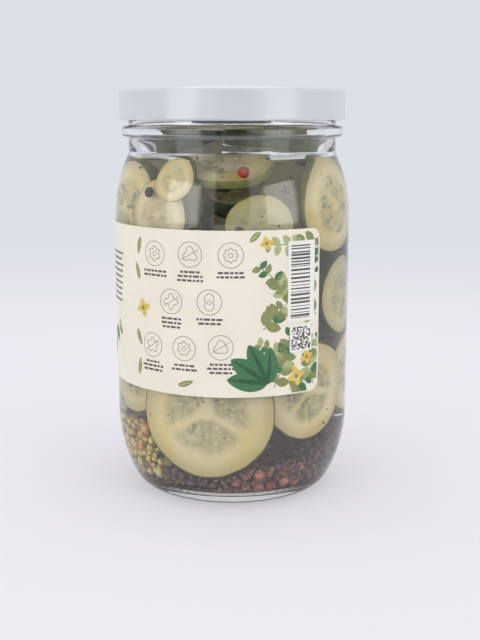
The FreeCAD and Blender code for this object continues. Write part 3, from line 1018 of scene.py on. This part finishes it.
def pickle_finish():
    """Pale yellow flesh, grey-olive seed chambers and an olive skin."""
    finish = Finish("pickled cucumber")
    x, y, _ = finish.parts(finish.node("ShaderNodeUVMap", {"uv_map": "flat"}))
    spot = finish.place()
    tone, dark, clear = [finish.mark(name) for name in ("tone", "dark", "clear")]
    distance = (x * x + y * y) ** 0.5 + 0.0001
    lobes = (x * x * x - x * y * y * 3.0) / (distance * distance * distance)
    mottle = finish.noise(spot, 300.0, 4.0, 0.6)
    soft = finish.noise(spot, 110.0, 3.0)
    slow = finish.noise(spot, 60.0, 1.0)
    edge = distance + (soft - 0.5) * 0.14
    outer = edge.step(0.68, 0.50) * edge.step(0.06, 0.16)
    from_rib = distance * (lobes * 2.0 + 2.0) ** 0.5 + (soft - 0.5) * 0.34
    ribs = from_rib.step(RIB_WIDTH, RIB_WIDTH * 12.0)
    seeds = outer * (1.0 - (1.0 - ribs) * clear)
    jelly = finish.blend(mottle.step(0.38, 0.62), colour(166, 158, 122), colour(208, 200, 158))
    flesh = finish.blend(tone, colour(252, 234, 196), colour(186, 187, 152))
    flesh = finish.blend(slow.step(0.45, 0.7) * (1.0 - tone * 0.7), flesh, colour(240, 218, 150))
    flesh = finish.blend(mottle.step(0.5, 0.8) * (0.6 - tone * 0.4), flesh, colour(250, 238, 210))
    face = finish.blend(seeds * (clear * 0.4 + 0.35), flesh, jelly)
    face = finish.blend(distance.step(0.70, 0.965) * 0.6, face, colour(200, 184, 118))
    specks = finish.cells(spot, 190.0).step(0.10, 0.06) * soft.step(0.48, 0.56)
    face = finish.blend(specks * 0.8, face, colour(104, 82, 58))
    patchy = finish.noise(spot, 170.0, 4.0, 0.65).step(0.35, 0.7)
    light_skin = finish.blend(patchy, colour(128, 130, 78), colour(164, 160, 100))
    dark_skin = finish.blend(patchy, colour(50, 58, 30), colour(88, 96, 52))
    skin = finish.blend(dark, light_skin, dark_skin)
    painted = finish.blend(distance.step(SKIN_AT - 0.010, SKIN_AT + 0.008), face, skin)
    height = mottle * 0.5 + finish.noise(spot, 700.0, 2.0) * 0.3 + soft * seeds * 0.6
    shader = finish.surface(
        base_color=painted,
        roughness=0.42 - seeds * 0.15 + mottle * 0.1,
        specular_ior_level=0.35,
        subsurface_weight=0.12,
        subsurface_radius=(0.004, 0.003, 0.0015),
        normal=finish.bump(height, 0.0006, 0.6),
    )
    return finish.done(shader)


def join_slices(name, chosen, material):
    """Turns each slice's own plane into its place in the jar, and joins them into one piece."""
    points, flats, faces = [], [], [[], [], []]
    start = 0
    for one in chosen:
        own, flat = one["shape"].skin()
        points.append(place(one, own))
        flats.append(flat)
        for kind, kind_faces in zip(faces, SLICE_FACES):
            kind.append(kind_faces + start)
        start += len(own)
    marks = {}
    for mark in ("tone", "dark", "clear"):
        marks[mark] = np.repeat([one[mark] for one in chosen], len(own))
    faces = [np.concatenate(kind) for kind in faces]
    mesh = make_mesh(name, np.concatenate(points), faces, marks, np.concatenate(flats))
    add_piece(name, mesh, material)


GROUP = 30
BIG_SLICE, SHRINK, THINNER = 18.0, 0.985, 0.1
shape_rng = np.random.default_rng(21)
for one in slices:
    one["shape"] = SliceShape(one["radius"] * SHRINK, one["thickness"] - THINNER, shape_rng)
    one["clear"] = shape_rng.uniform(0.0, 0.55) + (0.45 if one["radius"] > BIG_SLICE else 0.0)
pickle_material = pickle_finish()
for index, first in enumerate(range(0, len(slices), GROUP)):
    join_slices(f"pickle_slices_{index + 1}", slices[first:first + GROUP], pickle_material)

# %% [markdown]
# ## Small round things
# Seeds, peppercorns and crumbs are all the same low-detail ball, stretched and turned at random, and joined
# into one piece for each kind. A number per grain lets the finish give each one its own colour.

# %% Grains
BALL_ROWS, BALL_COLUMNS = 5, 10


def ball():
    """Points of a ball of radius one, its poles last, and its faces."""
    rise = np.radians(np.linspace(-90.0, 90.0, BALL_ROWS + 2))[1:-1, None]
    angle = np.linspace(0.0, 2.0 * math.pi, BALL_COLUMNS, endpoint=False)[None]
    level = np.broadcast_to(np.sin(rise), (BALL_ROWS, BALL_COLUMNS))
    points = np.stack([np.cos(rise) * np.cos(angle), np.cos(rise) * np.sin(angle), level], axis=-1)
    poles = np.array([[0.0, 0.0, -1.0], [0.0, 0.0, 1.0]])
    return np.concatenate([points.reshape(-1, 3), poles]), skin_of(BALL_ROWS, BALL_COLUMNS)


BALL_POINTS, BALL_FACES = ball()


def random_turns(count, rng):
    """Random rotation matrices, from unit quaternions."""
    w, x, y, z = (lambda q: q / np.linalg.norm(q, axis=0))(rng.normal(size=(4, count)))
    rows = [
        [1 - 2 * (y * y + z * z), 2 * (x * y - z * w), 2 * (x * z + y * w)],
        [2 * (x * y + z * w), 1 - 2 * (x * x + z * z), 2 * (y * z - x * w)],
        [2 * (x * z - y * w), 2 * (y * z + x * w), 1 - 2 * (x * x + y * y)],
    ]
    return np.moveaxis(np.array(rows), 2, 0)


def join_grains(name, points, material, rng):
    """One piece of many balls, whose points are (balls, points, 3), with a random tone for each ball."""
    count, per_ball = points.shape[:2]
    starts = (np.arange(count) * per_ball)[:, None, None]
    faces = [(part[None] + starts).reshape(-1, part.shape[1]) for part in BALL_FACES]
    marks = {"tone": np.repeat(rng.uniform(0.0, 1.0, count), per_ball)}
    add_piece(name, make_mesh(name, points.reshape(-1, 3), faces, marks), material)


def add_grains(name, centres, sizes, turns, material, rng, lumps=0.0):
    """Balls at the given centres: three half axes and a matrix for each, roughened by lumps."""
    lumpy = 1.0 + lumps * rng.normal(size=(len(centres), len(BALL_POINTS), 1)).clip(-1.5, 1.5)
    stretched = BALL_POINTS[None] * lumpy * sizes[:, None]
    points = np.einsum("nij,npj->npi", turns, stretched) + centres[:, None]
    join_grains(name, points, material, rng)


def grain_finish(name, shades, roughness=0.45, grain=700.0, depth=0.0002, crease=0.5):
    """Grains between three colours: tone picks two of them, and a painted shade darkens the hollows of the
    fine relief.
    """
    finish = Finish(name)
    first, second, third = colours(shades)
    place = finish.place()
    tone = finish.mark("tone")
    spots = finish.noise(place, grain, 4.0, 0.6)
    base = finish.blend(tone.step(0.0, 0.55), first, second)
    base = finish.blend(tone.step(0.55, 1.0), base, third)
    # Painted shade: the hollows of the fine relief are darkened towards dark brown.
    shade = finish.blend(spots.step(0.58, 0.40) * crease, base, colour(60, 44, 36))
    shader = finish.surface(base_color=shade, roughness=roughness, normal=finish.bump(spots, depth, 0.7))
    return finish.done(shader)


print("a grain has", sum(len(part) for part in BALL_FACES), "faces")

# %% [markdown]
# ## Seeds in the slices
# A cucumber's seeds lie in two fans in each chamber, pointing away from the rib they grow on. They are flat
# pointed ovals, a little proud of the sunken face. Only the face that looks at the glass gets them.

# %% Cucumber seeds
SEEDS_PER_SLICE = 22
LEAST_SEEDED = 13.0
SEED_HALVES = np.array([2.3, 0.85, 0.30])


def slice_seeds(one, rng):
    """Points of all seeds on a slice's outer face, as (seeds, points, 3), where it lies in the jar."""
    fan = rng.integers(0, CHAMBERS, SEEDS_PER_SLICE)
    lean_by = rng.choice([-1.0, 1.0], SEEDS_PER_SLICE) * rng.uniform(6.0, 44.0, SEEDS_PER_SLICE)
    angle = np.radians(fan * 360.0 / CHAMBERS + lean_by)
    share = rng.uniform(0.20, 0.56, SEEDS_PER_SLICE)
    middles = one["shape"].on_face(share, angle)
    point = angle + np.radians(rng.normal(0.0, 22.0, SEEDS_PER_SLICE) - 0.5 * lean_by)
    balls = BALL_POINTS[None] * SEED_HALVES * rng.uniform(0.7, 1.15, (SEEDS_PER_SLICE, 1, 1))
    cosine, sine = np.cos(point)[:, None], np.sin(point)[:, None]
    long, wide, high = np.moveaxis(balls, -1, 0)
    own = np.stack([long * cosine - wide * sine, long * sine + wide * cosine, high], axis=-1)
    own = own + middles[:, None]
    return place(one, own.reshape(-1, 3), GLASS_GAP / 2.0).reshape(own.shape)


seed_rng = np.random.default_rng(5)
seeded = [one for one in slices if one["radius"] > LEAST_SEEDED]
seed_points = np.concatenate([slice_seeds(one, seed_rng) for one in seeded])
seed_material = grain_finish("cucumber seed", ((226, 216, 176), (204, 196, 152), (240, 230, 196)))
join_grains("cucumber_seeds", seed_points, seed_material, seed_rng)

# %% [markdown]
# ## The spices
# Peppercorns and mustard seeds have sunk to the bottom, in a heap that is higher on the right, and yellow
# crumbs of garlic and dill lie at the left. Each kind is thrown in grain by grain, and a grain that would
# cut into the glass, a slice or another grain is left out. A few grains cling to the slices higher up. The
# heap is real grains in its outer shell, over a plain mound that keeps light out behind them.

# %% Spice heap
HEAP_DEPTH = 15.0
GRAIN_GAP = 0.04
CORE_DEPTH, CORE_UNDER = 3.5, 4.5


def heap_height(azimuth):
    """Height of the heap's top at the wall, in millimetres, for azimuths in radians."""
    back = 0.5 - 0.5 * np.cos(azimuth)
    return 15.5 + 2.5 * np.sin(azimuth - 0.35) + 7.0 * back + 1.0 * np.sin(5.0 * azimuth + 1.0)


def core_points(rows=(7, 9), columns=96):
    """A mound under the grains: level below, a set depth under the heap's top, rounded at the edge."""
    azimuth = np.linspace(0.0, 2.0 * math.pi, columns, endpoint=False)[None]
    share = np.concatenate([np.linspace(0.1, 1.0, rows[0]), np.linspace(0.98, 0.1, rows[1])])[:, None]
    foot = FLOOR + FLOOR_DOME + 0.4
    rise = (heap_height(azimuth) - CORE_UNDER - foot) * (1.0 - share ** 6)
    rise[:rows[0]] = 0.0
    reach = share * (inner_radius(foot + 3.0) - CORE_DEPTH)
    mound = about_axis(azimuth, reach, foot + rise)
    poles = [[0.0, 0.0, foot], [0.0, 0.0, float(heap_height(azimuth).mean()) - CORE_UNDER]]
    return np.concatenate([mound.reshape(-1, 3), poles]), skin_of(sum(rows), columns)


def throw(taken, count, tries, low, high, rng, region):
    """Places up to count grains of radius low to high. region turns random numbers into points."""
    tried = region(rng.uniform(0.0, 1.0, (3, tries)))
    radii = rng.uniform(low, high, tries)
    edge = inner_radius(tried[:, 2]) - np.hypot(tried[:, 0], tried[:, 1])
    good = (edge > radii + GLASS_GAP) & (tried[:, 2] > FLOOR + FLOOR_DOME * 0.6 + radii)
    for one in slices:
        near = one["thickness"] / 2.0 + radii
        if one["at_wall"]:
            away, off = wall_offsets(one, tried)
            good &= ~((away < one["radius"] + high * 0.7) & (np.abs(off) < near))
        else:
            good &= ~in_slab(tried, one["centre"], one["axes"][2], one["radius"] + high * 0.7, near)
    placed = []
    middles, sizes = taken["middles"], taken["radii"]
    for point, radius in zip(tried[good], radii[good]):
        used = taken["used"]
        away = np.linalg.norm(middles[:used] - point, axis=1)
        if (away > sizes[:used] + radius + GRAIN_GAP).all():
            middles[used], sizes[used] = point, radius
            taken["used"] = used + 1
            placed.append((point, radius))
            if len(placed) == count:
                break
    points = np.array([point for point, _ in placed]).reshape(-1, 3)
    return points, np.array([radius for _, radius in placed])


def heap_region(share):
    """Random numbers spread over the heap's outer shell, from the floor to its top."""
    azimuth = share[0] * 2.0 * math.pi
    height = FLOOR + (heap_height(azimuth) - FLOOR) * share[1]
    return about_axis(azimuth, inner_radius(height) - HEAP_DEPTH * share[2], height)


def pocket(first, span, foot, rise, depth):
    """A region against the glass: azimuths from first over span, heights from foot over rise."""
    def region(share):
        azimuth = np.radians(first + span * share[0])
        height = foot + rise * share[1]
        return about_axis(azimuth, inner_radius(height) - depth * share[2], height)
    return region


def wall_region(share):
    """A thin layer against the glass, from the heap up to the brine's surface."""
    azimuth = share[0] * 2.0 * math.pi
    height = HEAP_TOP + (BRINE_LEVEL - 3.0 - HEAP_TOP) * share[1]
    return about_axis(azimuth, inner_radius(height) - 2.0 - 6.0 * share[2], height)


spice_rng = np.random.default_rng(11)
taken = {"middles": np.zeros((20000, 3)), "radii": np.zeros(20000), "used": 0}
LEFT_POCKET = pocket(-92.0, 50.0, 9.0, 19.0, 9.0)
FRONT_POCKET = pocket(2.0, 42.0, 5.0, 10.0, 7.0)
# Each kind: name, how many at most, tries, radius from and to, region, lumps, strength of the painted shade
# in the creases, and the three colours that its grains are mixed from.
KINDS = (
    ("garlic_crumbs", 340, 6000, 1.0, 2.5, LEFT_POCKET, 0.2, 0.1,
     ((250, 232, 144), (236, 212, 114), (244, 176, 106))),
    ("peppercorns_pink", 26, 900, 1.8, 2.3, FRONT_POCKET, 0.03, 0.5,
     ((204, 122, 112), (216, 154, 134), (180, 72, 74))),
    ("peppercorns_brown", 330, 6000, 1.5, 2.1, heap_region, 0.04, 0.5,
     ((118, 86, 84), (94, 72, 78), (146, 96, 90))),
    ("mustard_seeds", 3800, 16000, 0.7, 1.05, heap_region, 0.0, 0.5,
     ((158, 120, 102), (112, 88, 88), (178, 144, 106))),
    ("spice_specks", 60, 600, 0.5, 0.9, wall_region, 0.10, 0.5,
     ((92, 70, 52), (120, 88, 60), (70, 62, 56))),
    ("dark_peppercorns", 9, 60, 1.5, 1.9, wall_region, 0.04, 0.5,
     ((66, 54, 50), (84, 64, 58), (104, 78, 66))),
)
for name, count, tries, low, high, region, lumps, crease, shades in KINDS:
    middles, radii = throw(taken, count, tries, low, high, spice_rng, region)
    squash = spice_rng.uniform(0.86, 1.0, (len(radii), 3)) * radii[:, None]
    material = grain_finish(name.replace("_", " "), shades, crease=crease)
    add_grains(name, middles, squash, random_turns(len(radii), spice_rng), material, spice_rng, lumps)
core, core_faces = core_points()
core_tone = {"tone": spice_rng.uniform(0.0, 1.0, len(core))}
core_mesh = make_mesh("spice_core", core, core_faces, core_tone)
core_shades = ((146, 114, 104), (116, 92, 92), (170, 136, 114))
add_piece("spice_core", core_mesh, grain_finish("spice core", core_shades, 0.6, 500.0))

# %% [markdown]
# ## Two grains that stand out
# A red berry floats just under the surface in front, on the leaning slice, and one dark peppercorn lies on a
# slice at the upper left.

# %% Berry and peppercorn
def against_glass(azimuth, height, radius):
    """Middle of a ball that touches the inside of the glass."""
    reach = float(inner_radius(height)) - radius - GLASS_GAP
    return outward(azimuth) * reach + np.array([0.0, 0.0, height])


# Each grain: name, azimuth, height, radius, colours, roughness, scale and depth of its relief, and lumps.
SINGLES = (
    ("red_berry", 6.0, 121.9, 2.1, ((190, 52, 38), (204, 66, 46), (176, 44, 36)), 0.3, 400.0, 0.0001, 0.0),
    ("dark_peppercorn", -47.0, 114.5, 1.9, ((84, 64, 60), (98, 74, 66), (72, 58, 56)),
     0.45, 700.0, 0.0002, 0.03),
)
single_rng = np.random.default_rng(2)
for name, azimuth, height, radius, shades, roughness, grain, depth, lumps in SINGLES:
    material = grain_finish(name.replace("_", " "), shades, roughness, grain, depth)
    middle, halves = against_glass(azimuth, height, radius)[None], np.full((1, 3), radius)
    add_grains(name, middle, halves, random_turns(1, single_rng), material, single_rng, lumps)

# %% [markdown]
# ## Lid, sealing ring and label
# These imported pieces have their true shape, so they stay, and only get their finish: white lacquer with the
# faint orange peel of sprayed paint, a soft pale sealing compound, and matt coated paper with a fibre grain.

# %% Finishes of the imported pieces


def lacquer():
    """White gloss lacquer on steel, with a fine orange peel and small differences in gloss."""
    finish = Finish("white lacquer")
    place = finish.place()
    peel = finish.noise(place, 900.0, 2.0)
    smear = finish.noise(place, 35.0, 4.0, 0.6)
    shade = finish.blend(smear.step(0.3, 0.8), colour(213, 216, 219), colour(206, 209, 212))
    shader = finish.surface(
        base_color=shade,
        roughness=0.24 + smear * 0.14,
        coat_weight=0.6,
        coat_roughness=0.12,
        normal=finish.bump(peel, 0.00004, 0.5),
    )
    return finish.done(shader)


def sealing_compound():
    """Soft pale compound with a fine grain."""
    finish = Finish("sealing compound")
    grain = finish.noise(finish.place(), 700.0, 3.0)
    shade = finish.blend(grain, colour(226, 226, 218), colour(214, 214, 205))
    return finish.done(finish.surface(base_color=shade, roughness=0.55, normal=finish.bump(grain, 0.00005)))


def label_paper():
    """Cream coated paper: faint clouding, fibres as fine relief."""
    finish = Finish("label paper")
    place = finish.place()
    fibre = finish.noise(place, 1500.0, 4.0, 0.7)
    cloud = finish.noise(place, 70.0, 3.0)
    shade = finish.blend(cloud.step(0.3, 0.7), colour(247, 238, 219), colour(243, 233, 213))
    relief = finish.bump(fibre, 0.00003, 0.6)
    return finish.done(finish.surface(base_color=shade, roughness=0.62 + fibre * 0.1, normal=relief))


def refinish(node, material):
    """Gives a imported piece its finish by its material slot."""
    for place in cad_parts[node].material_slots:
        place.material = material


refinish("metal_lid", lacquer())
refinish("sealing_ring", sealing_compound())
refinish("paper_label", label_paper())
print("lid, sealing ring and label have their finishes")

# %% [markdown]
# ## Drawing on the label
# The print is thin ink on the paper. Each shape is a small grid of points on the unrolled label, where one
# number runs round the jar and the other up it, and it is then bent round the jar a few hundredths of a
# millimetre above the paper. Shapes of one ink are joined into one piece. The design is a plain one of its
# own: outline signs with bars in place of words, sprigs of leaves, a block of stripes and a speckled patch.

# %% Print helpers
INK_LIFT, STEM = 0.012, 0.35
PRINT_LEFT, PRINT_RIGHT = -202.0, 33.6
PRINT_FOOT, PRINT_TOP = LABEL_FOOT + 0.5, LABEL_TOP - 0.5
inks = {}


def print_grid(ink, layer, grid):
    """Adds a grid of points, given as (rows, columns, 2), to an ink. Higher layers cover lower ones."""
    across, up = grid[0, -1] - grid[0, 0], grid[-1, 0] - grid[0, 0]
    if across[0] * up[1] - across[1] * up[0] < 0.0:
        grid = grid[:, ::-1]
    angle = grid[..., 0].clip(PRINT_LEFT, PRINT_RIGHT) / LABEL_RADIUS
    radius = LABEL_RADIUS + INK_LIFT * (layer + 1)
    height = grid[..., 1].clip(PRINT_FOOT, PRINT_TOP)
    points = about_axis(angle, radius, height).reshape(-1, 3)
    inks.setdefault(ink, []).append((points, grid_faces(*grid.shape[:2], False)))


def between(first, last, steps):
    """A grid of steps rows, evenly between two rows of points."""
    share = np.linspace(0.0, 1.0, steps)[:, None, None]
    return first[None] * (1.0 - share) + last[None] * share


def field(ink, layer, left, foot, right, top):
    """A rectangle, with a column for about every millimetre."""
    along = np.linspace(left, right, max(2, int(abs(right - left)) + 2))
    rows = [np.stack([along, np.full(len(along), level)], axis=-1) for level in (foot, top)]
    print_grid(ink, layer, np.stack(rows))


def stroke(ink, layer, path, width):
    """A line of even width along a path of points."""
    step = np.gradient(path, axis=0)
    side = np.stack([-step[:, 1], step[:, 0]], axis=-1) / np.linalg.norm(step, axis=1)[:, None]
    print_grid(ink, layer, between(path + side * width / 2.0, path - side * width / 2.0, 2))


def outline(x, y, radius, lobes, depth, turn, steps=49):
    """A closed path round (x, y), whose radius swells and shrinks lobes times by the share depth."""
    angle = np.linspace(0.0, 2.0 * math.pi, steps)
    reach = radius * (1.0 + depth * np.cos(lobes * (angle - turn)))
    return np.stack([x + reach * np.cos(angle), y + reach * np.sin(angle)], axis=-1)


def blob(ink, layer, x, y, radius, lobes=0, depth=0.0, turn=0.0):
    """The same shape filled in, from a tiny middle out to the outline."""
    rim = outline(x, y, radius, lobes, depth, turn, max(25, int(6.3 * radius)))
    print_grid(ink, layer, between(rim, np.array([x, y]) + (rim - [x, y]) * 0.02, int(radius) + 3))


def leaf(ink, layer, x, y, length, width, turn, bend=0.0, steps=13):
    """A pointed leaf from its foot at (x, y). Its half width is a sine of the way, pulled to the foot."""
    along = np.linspace(0.0, 1.0, steps)
    half = width / 2.0 * np.sin(math.pi * along ** 0.85) ** 0.7
    middle = np.stack([along * length, bend * length * along ** 2], axis=-1)
    side = np.stack([np.zeros(steps), half], axis=-1)
    print_grid(ink, layer, between(middle + side, middle - side, 7) @ plane_turn(turn) + [x, y])


def words(ink, layer, middle, height, width, rng, thick=0.75):
    """A line of text told as short bars of random length."""
    lengths = rng.uniform(0.8, 2.4, 12)
    starts = np.concatenate([[0.0], np.cumsum(lengths + 0.42)[:-1]])
    kept = starts + lengths < width
    total = (starts + lengths)[kept][-1]
    for start, length in zip(starts[kept], lengths[kept]):
        left = middle - total / 2.0 + start
        field(ink, layer, left, height - thick / 2.0, left + length, height + thick / 2.0)


def sprig(x, y, length, turn, pairs, size, shades, rng):
    """A bent stem with pairs of leaves that get smaller towards its tip."""
    along = np.linspace(0.0, 1.0, 12)
    bend = rng.uniform(-0.25, 0.25)
    path = np.stack([along * length, bend * length * along ** 2], axis=-1)
    path = path @ plane_turn(turn) + [x, y]
    stroke(shades[0], 1, path, STEM)
    for pair in range(pairs):
        share = (pair + 0.7) / pairs
        foot = path[min(int(share * 11), 11)]
        own = size * (1.1 - 0.5 * share) * rng.uniform(0.85, 1.15)
        for side in (-1.0, 1.0):
            lean_by = turn + side * rng.uniform(38.0, 68.0)
            shade = shades[rng.integers(len(shades))]
            leaf(shade, 2, *foot, own, own * 0.66, lean_by, 0.1 * side)


def ink_finish(name, shades):
    """Printing ink: its colour, a slightly weaker one in a fine grain, and the paper's own relief."""
    finish = Finish(name)
    shade, worn = colours(shades)
    spot = finish.place()
    grain = finish.noise(spot, 1500.0, 4.0, 0.7)
    cloud = finish.noise(spot, 240.0, 3.0)
    mixed = finish.blend(grain.step(0.45, 0.75) * 0.5 + cloud.step(0.35, 0.7) * 0.4, shade, worn)
    relief = finish.bump(grain, 0.00003, 0.5)
    return finish.done(finish.surface(base_color=mixed, roughness=0.55, normal=relief))


print("the label runs from height", round(LABEL_FOOT, 1), "to", round(LABEL_TOP, 1), "mm")

# %% [markdown]
# ## The print beside the front
# The part of the label that looks forward has eight round signs in thin grey line, with small bars below
# them, and at its right-hand end foliage, with the striped block and the speckled patch on white.

# %% Signs and bars
SIGN_RADIUS = 4.4
print_rng = np.random.default_rng(17)
SIGNS = (
    (-29.5, 94.0, 6, 0.22), (-15.0, 94.5, 3, 0.28), (-0.5, 94.5, 8, 0.16),
    (-22.5, 77.5, 4, 0.30), (-8.0, 78.0, 2, 0.34),
    (-31.0, 61.0, 5, 0.26), (-17.5, 61.0, 7, 0.18), (-4.0, 62.0, 3, 0.20),
)
for index, (x, y, lobes, depth) in enumerate(SIGNS):
    stroke("line", 1, outline(x, y, SIGN_RADIUS, 0, 0.0, 0.0), 0.24)
    stroke("line", 1, outline(x, y, SIGN_RADIUS * 0.52, lobes, depth, math.pi / 2.0), 0.26)
    if index % 2 == 0:
        stroke("line", 1, outline(x, y, SIGN_RADIUS * 0.18, 0, 0.0, 0.0, 17), 0.22)
    else:
        tip = SIGN_RADIUS * 0.7
        stroke("line", 1, np.linspace([x - tip, y - tip * 0.6], [x + tip, y + tip * 0.6], 5), 0.22)
    for row in range(2 + index % 2):
        words("text", 1, x, y - SIGN_RADIUS - 1.7 - 1.5 * row, print_rng.uniform(8.0, 11.5), print_rng)

# %% Foliage, striped block and patch
OLIVES = ("olive", "pale_olive", "olive", "green")
# Sprigs: foot, length, direction, pairs of leaves and their size.
SPRIGS = (
    (32.0, 46.5, 22.0, 104.0, 7, 5.4), (15.0, 47.0, 21.0, 62.0, 6, 5.4), (33.0, 72.0, 19.0, 150.0, 6, 5.4),
    (33.0, 99.0, 22.0, 192.0, 6, 5.2), (11.0, 68.0, 18.0, 50.0, 6, 5.2), (21.0, 46.0, 12.0, 15.0, 4, 5.0),
    (20.0, 80.0, 15.0, 124.0, 5, 5.4), (32.0, 86.0, 14.0, 215.0, 5, 5.0), (22.0, 58.0, 14.0, 160.0, 5, 4.8),
    (33.5, 56.0, 12.0, 80.0, 4, 4.6), (33.5, 100.0, 12.0, 262.0, 4, 4.6),
)
BIG_FOOT = (12.5, 48.4)
BIG_LEAVES = ((166.0, 14.5, 7.4), (138.0, 16.0, 8.0), (109.0, 16.0, 7.6), (80.0, 13.5, 6.6))
SMALL_LEAVES = (
    (-36.5, 99.5, 250.0), (-37.5, 84.0, 100.0), (-39.0, 66.0, 285.0),
    (-38.5, 49.0, 75.0), (-20.0, 47.5, 12.0), (6.0, 99.0, 40.0),
)
FLOWERS = ((-35.5, 74.0, 2.6), (24.0, 50.5, 2.8), (28.5, 57.0, 2.2), (12.0, 98.5, 1.9))
for x, y, length, turn, pairs, size in SPRIGS:
    sprig(x, y, length, turn, pairs, size, OLIVES, print_rng)
for turn, length, width in BIG_LEAVES:
    leaf("green", 4, *BIG_FOOT, length, width, turn, 0.10, 17)
    leaf("deep_green", 5, *BIG_FOOT, length * 0.94, width * 0.22, turn, 0.10, 17)
for x, y, turn in SMALL_LEAVES:
    leaf("olive", 2, x, y, 6.4, 2.0, turn, 0.12)
    leaf("pale_olive", 3, x, y, 5.6, 0.7, turn, 0.12)
for x, y, size in FLOWERS:
    blob("yellow", 4, x, y, size, 4, 0.32, 0.3)
    blob("olive", 5, x, y, size * 0.3)
STRIPE_LEFT, STRIPE_RIGHT, STRIPE_FOOT, STRIPE_TOP = 21.4, 29.6, 71.5, 97.5
field("white", 5, STRIPE_LEFT - 1.2, STRIPE_FOOT - 1.4, STRIPE_RIGHT + 2.2, STRIPE_TOP + 1.4)
level = STRIPE_FOOT
while level < STRIPE_TOP:
    thick = print_rng.choice([0.25, 0.5, 0.75])
    field("text", 6, STRIPE_LEFT, level, STRIPE_RIGHT, min(level + thick, STRIPE_TOP))
    level += thick + print_rng.choice([0.28, 0.5, 0.8])
PATCH_LEFT, PATCH_FOOT, PATCH_CELLS, PATCH_CELL = 21.8, 60.0, 15, 0.55
PATCH_EDGE = 0.7
patch_far = PATCH_CELLS * PATCH_CELL + PATCH_EDGE
patch_near = (PATCH_LEFT - PATCH_EDGE, PATCH_FOOT - PATCH_EDGE)
field("white", 5, *patch_near, PATCH_LEFT + patch_far, PATCH_FOOT + patch_far)
for row, column in np.argwhere(print_rng.random((PATCH_CELLS, PATCH_CELLS)) < 0.5):
    x, y = PATCH_LEFT + column * PATCH_CELL, PATCH_FOOT + row * PATCH_CELL
    field("text", 6, x, y, x + PATCH_CELL, y + PATCH_CELL)

# %% [markdown]
# ## The print round the back
# The rest of the label isn't seen from the front. It gets a round emblem of a cut cucumber between two
# sprigs, a column of bars beside it, and at the far end a ruled table of bars.

# %% Emblem and table
EMBLEM_AT, EMBLEM_HEIGHT = -118.0, 75.0
blob("green", 1, EMBLEM_AT, EMBLEM_HEIGHT, 19.0, 24, 0.015)
blob("white", 2, EMBLEM_AT, EMBLEM_HEIGHT, 16.6)
blob("deep_green", 3, EMBLEM_AT, EMBLEM_HEIGHT, 13.0, 3, 0.02)
blob("pale_olive", 4, EMBLEM_AT, EMBLEM_HEIGHT, 12.0, 3, 0.02)
for turn in range(3):
    angle = math.radians(90.0 + 120.0 * turn)
    middle = EMBLEM_AT + 5.4 * math.cos(angle), EMBLEM_HEIGHT + 5.4 * math.sin(angle)
    blob("olive", 5, *middle, 3.6, 2, 0.15, angle + math.pi / 2.0)
    for offset in (-1.5, 0.0, 1.5):
        leaf("white", 6, middle[0] + offset, middle[1] - 1.2, 2.4, 0.9, 90.0)
for side in (-1.0, 1.0):
    sprig(EMBLEM_AT + side * 21.0, 56.0, 38.0, 90.0, 9, 6.0, OLIVES, print_rng)
TABLE_LEFT, TABLE_RIGHT, TABLE_FOOT, TABLE_TOP = -196.0, -164.0, 50.0, 97.0
for x in (TABLE_LEFT, TABLE_RIGHT):
    field("line", 1, x - 0.15, TABLE_FOOT, x + 0.15, TABLE_TOP)
for row in range(16):
    y = TABLE_FOOT + (TABLE_TOP - TABLE_FOOT) * row / 15.0
    field("line", 1, TABLE_LEFT, y - 0.1, TABLE_RIGHT, y + 0.1)
    if row < 15:
        words("text", 1, TABLE_LEFT + 8.5, y + 1.6, print_rng.uniform(8.0, 13.0), print_rng, 0.9)
        words("text", 1, TABLE_RIGHT - 5.0, y + 1.6, print_rng.uniform(3.5, 7.0), print_rng, 0.9)
for row in range(9):
    words("text", 1, -60.0, 92.0 - 2.2 * row, print_rng.uniform(16.0, 26.0), print_rng, 0.8)
sprig(-74.0, 50.0, 26.0, 35.0, 7, 5.0, OLIVES, print_rng)

INK_SHADES = {
    "white": ((246, 243, 235), (240, 236, 226)),
    "line": ((150, 136, 124), (176, 163, 150)),
    "text": ((84, 76, 78), (120, 110, 110)),
    "olive": ((128, 136, 78), (160, 165, 108)),
    "pale_olive": ((172, 178, 118), (196, 199, 146)),
    "green": ((58, 112, 70), (84, 136, 88)),
    "deep_green": ((38, 86, 54), (58, 108, 68)),
    "yellow": ((222, 186, 74), (236, 212, 118)),
}
for ink, shades in INK_SHADES.items():
    points = np.concatenate([part for part, _ in inks[ink]])
    starts = np.cumsum([0] + [len(part) for part, _ in inks[ink]][:-1])
    faces = np.concatenate([own + start for (_, own), start in zip(inks[ink], starts)])
    name = f"print_{ink}"
    add_piece(name, make_mesh(name, points, [faces]), ink_finish(f"{ink} ink", shades))
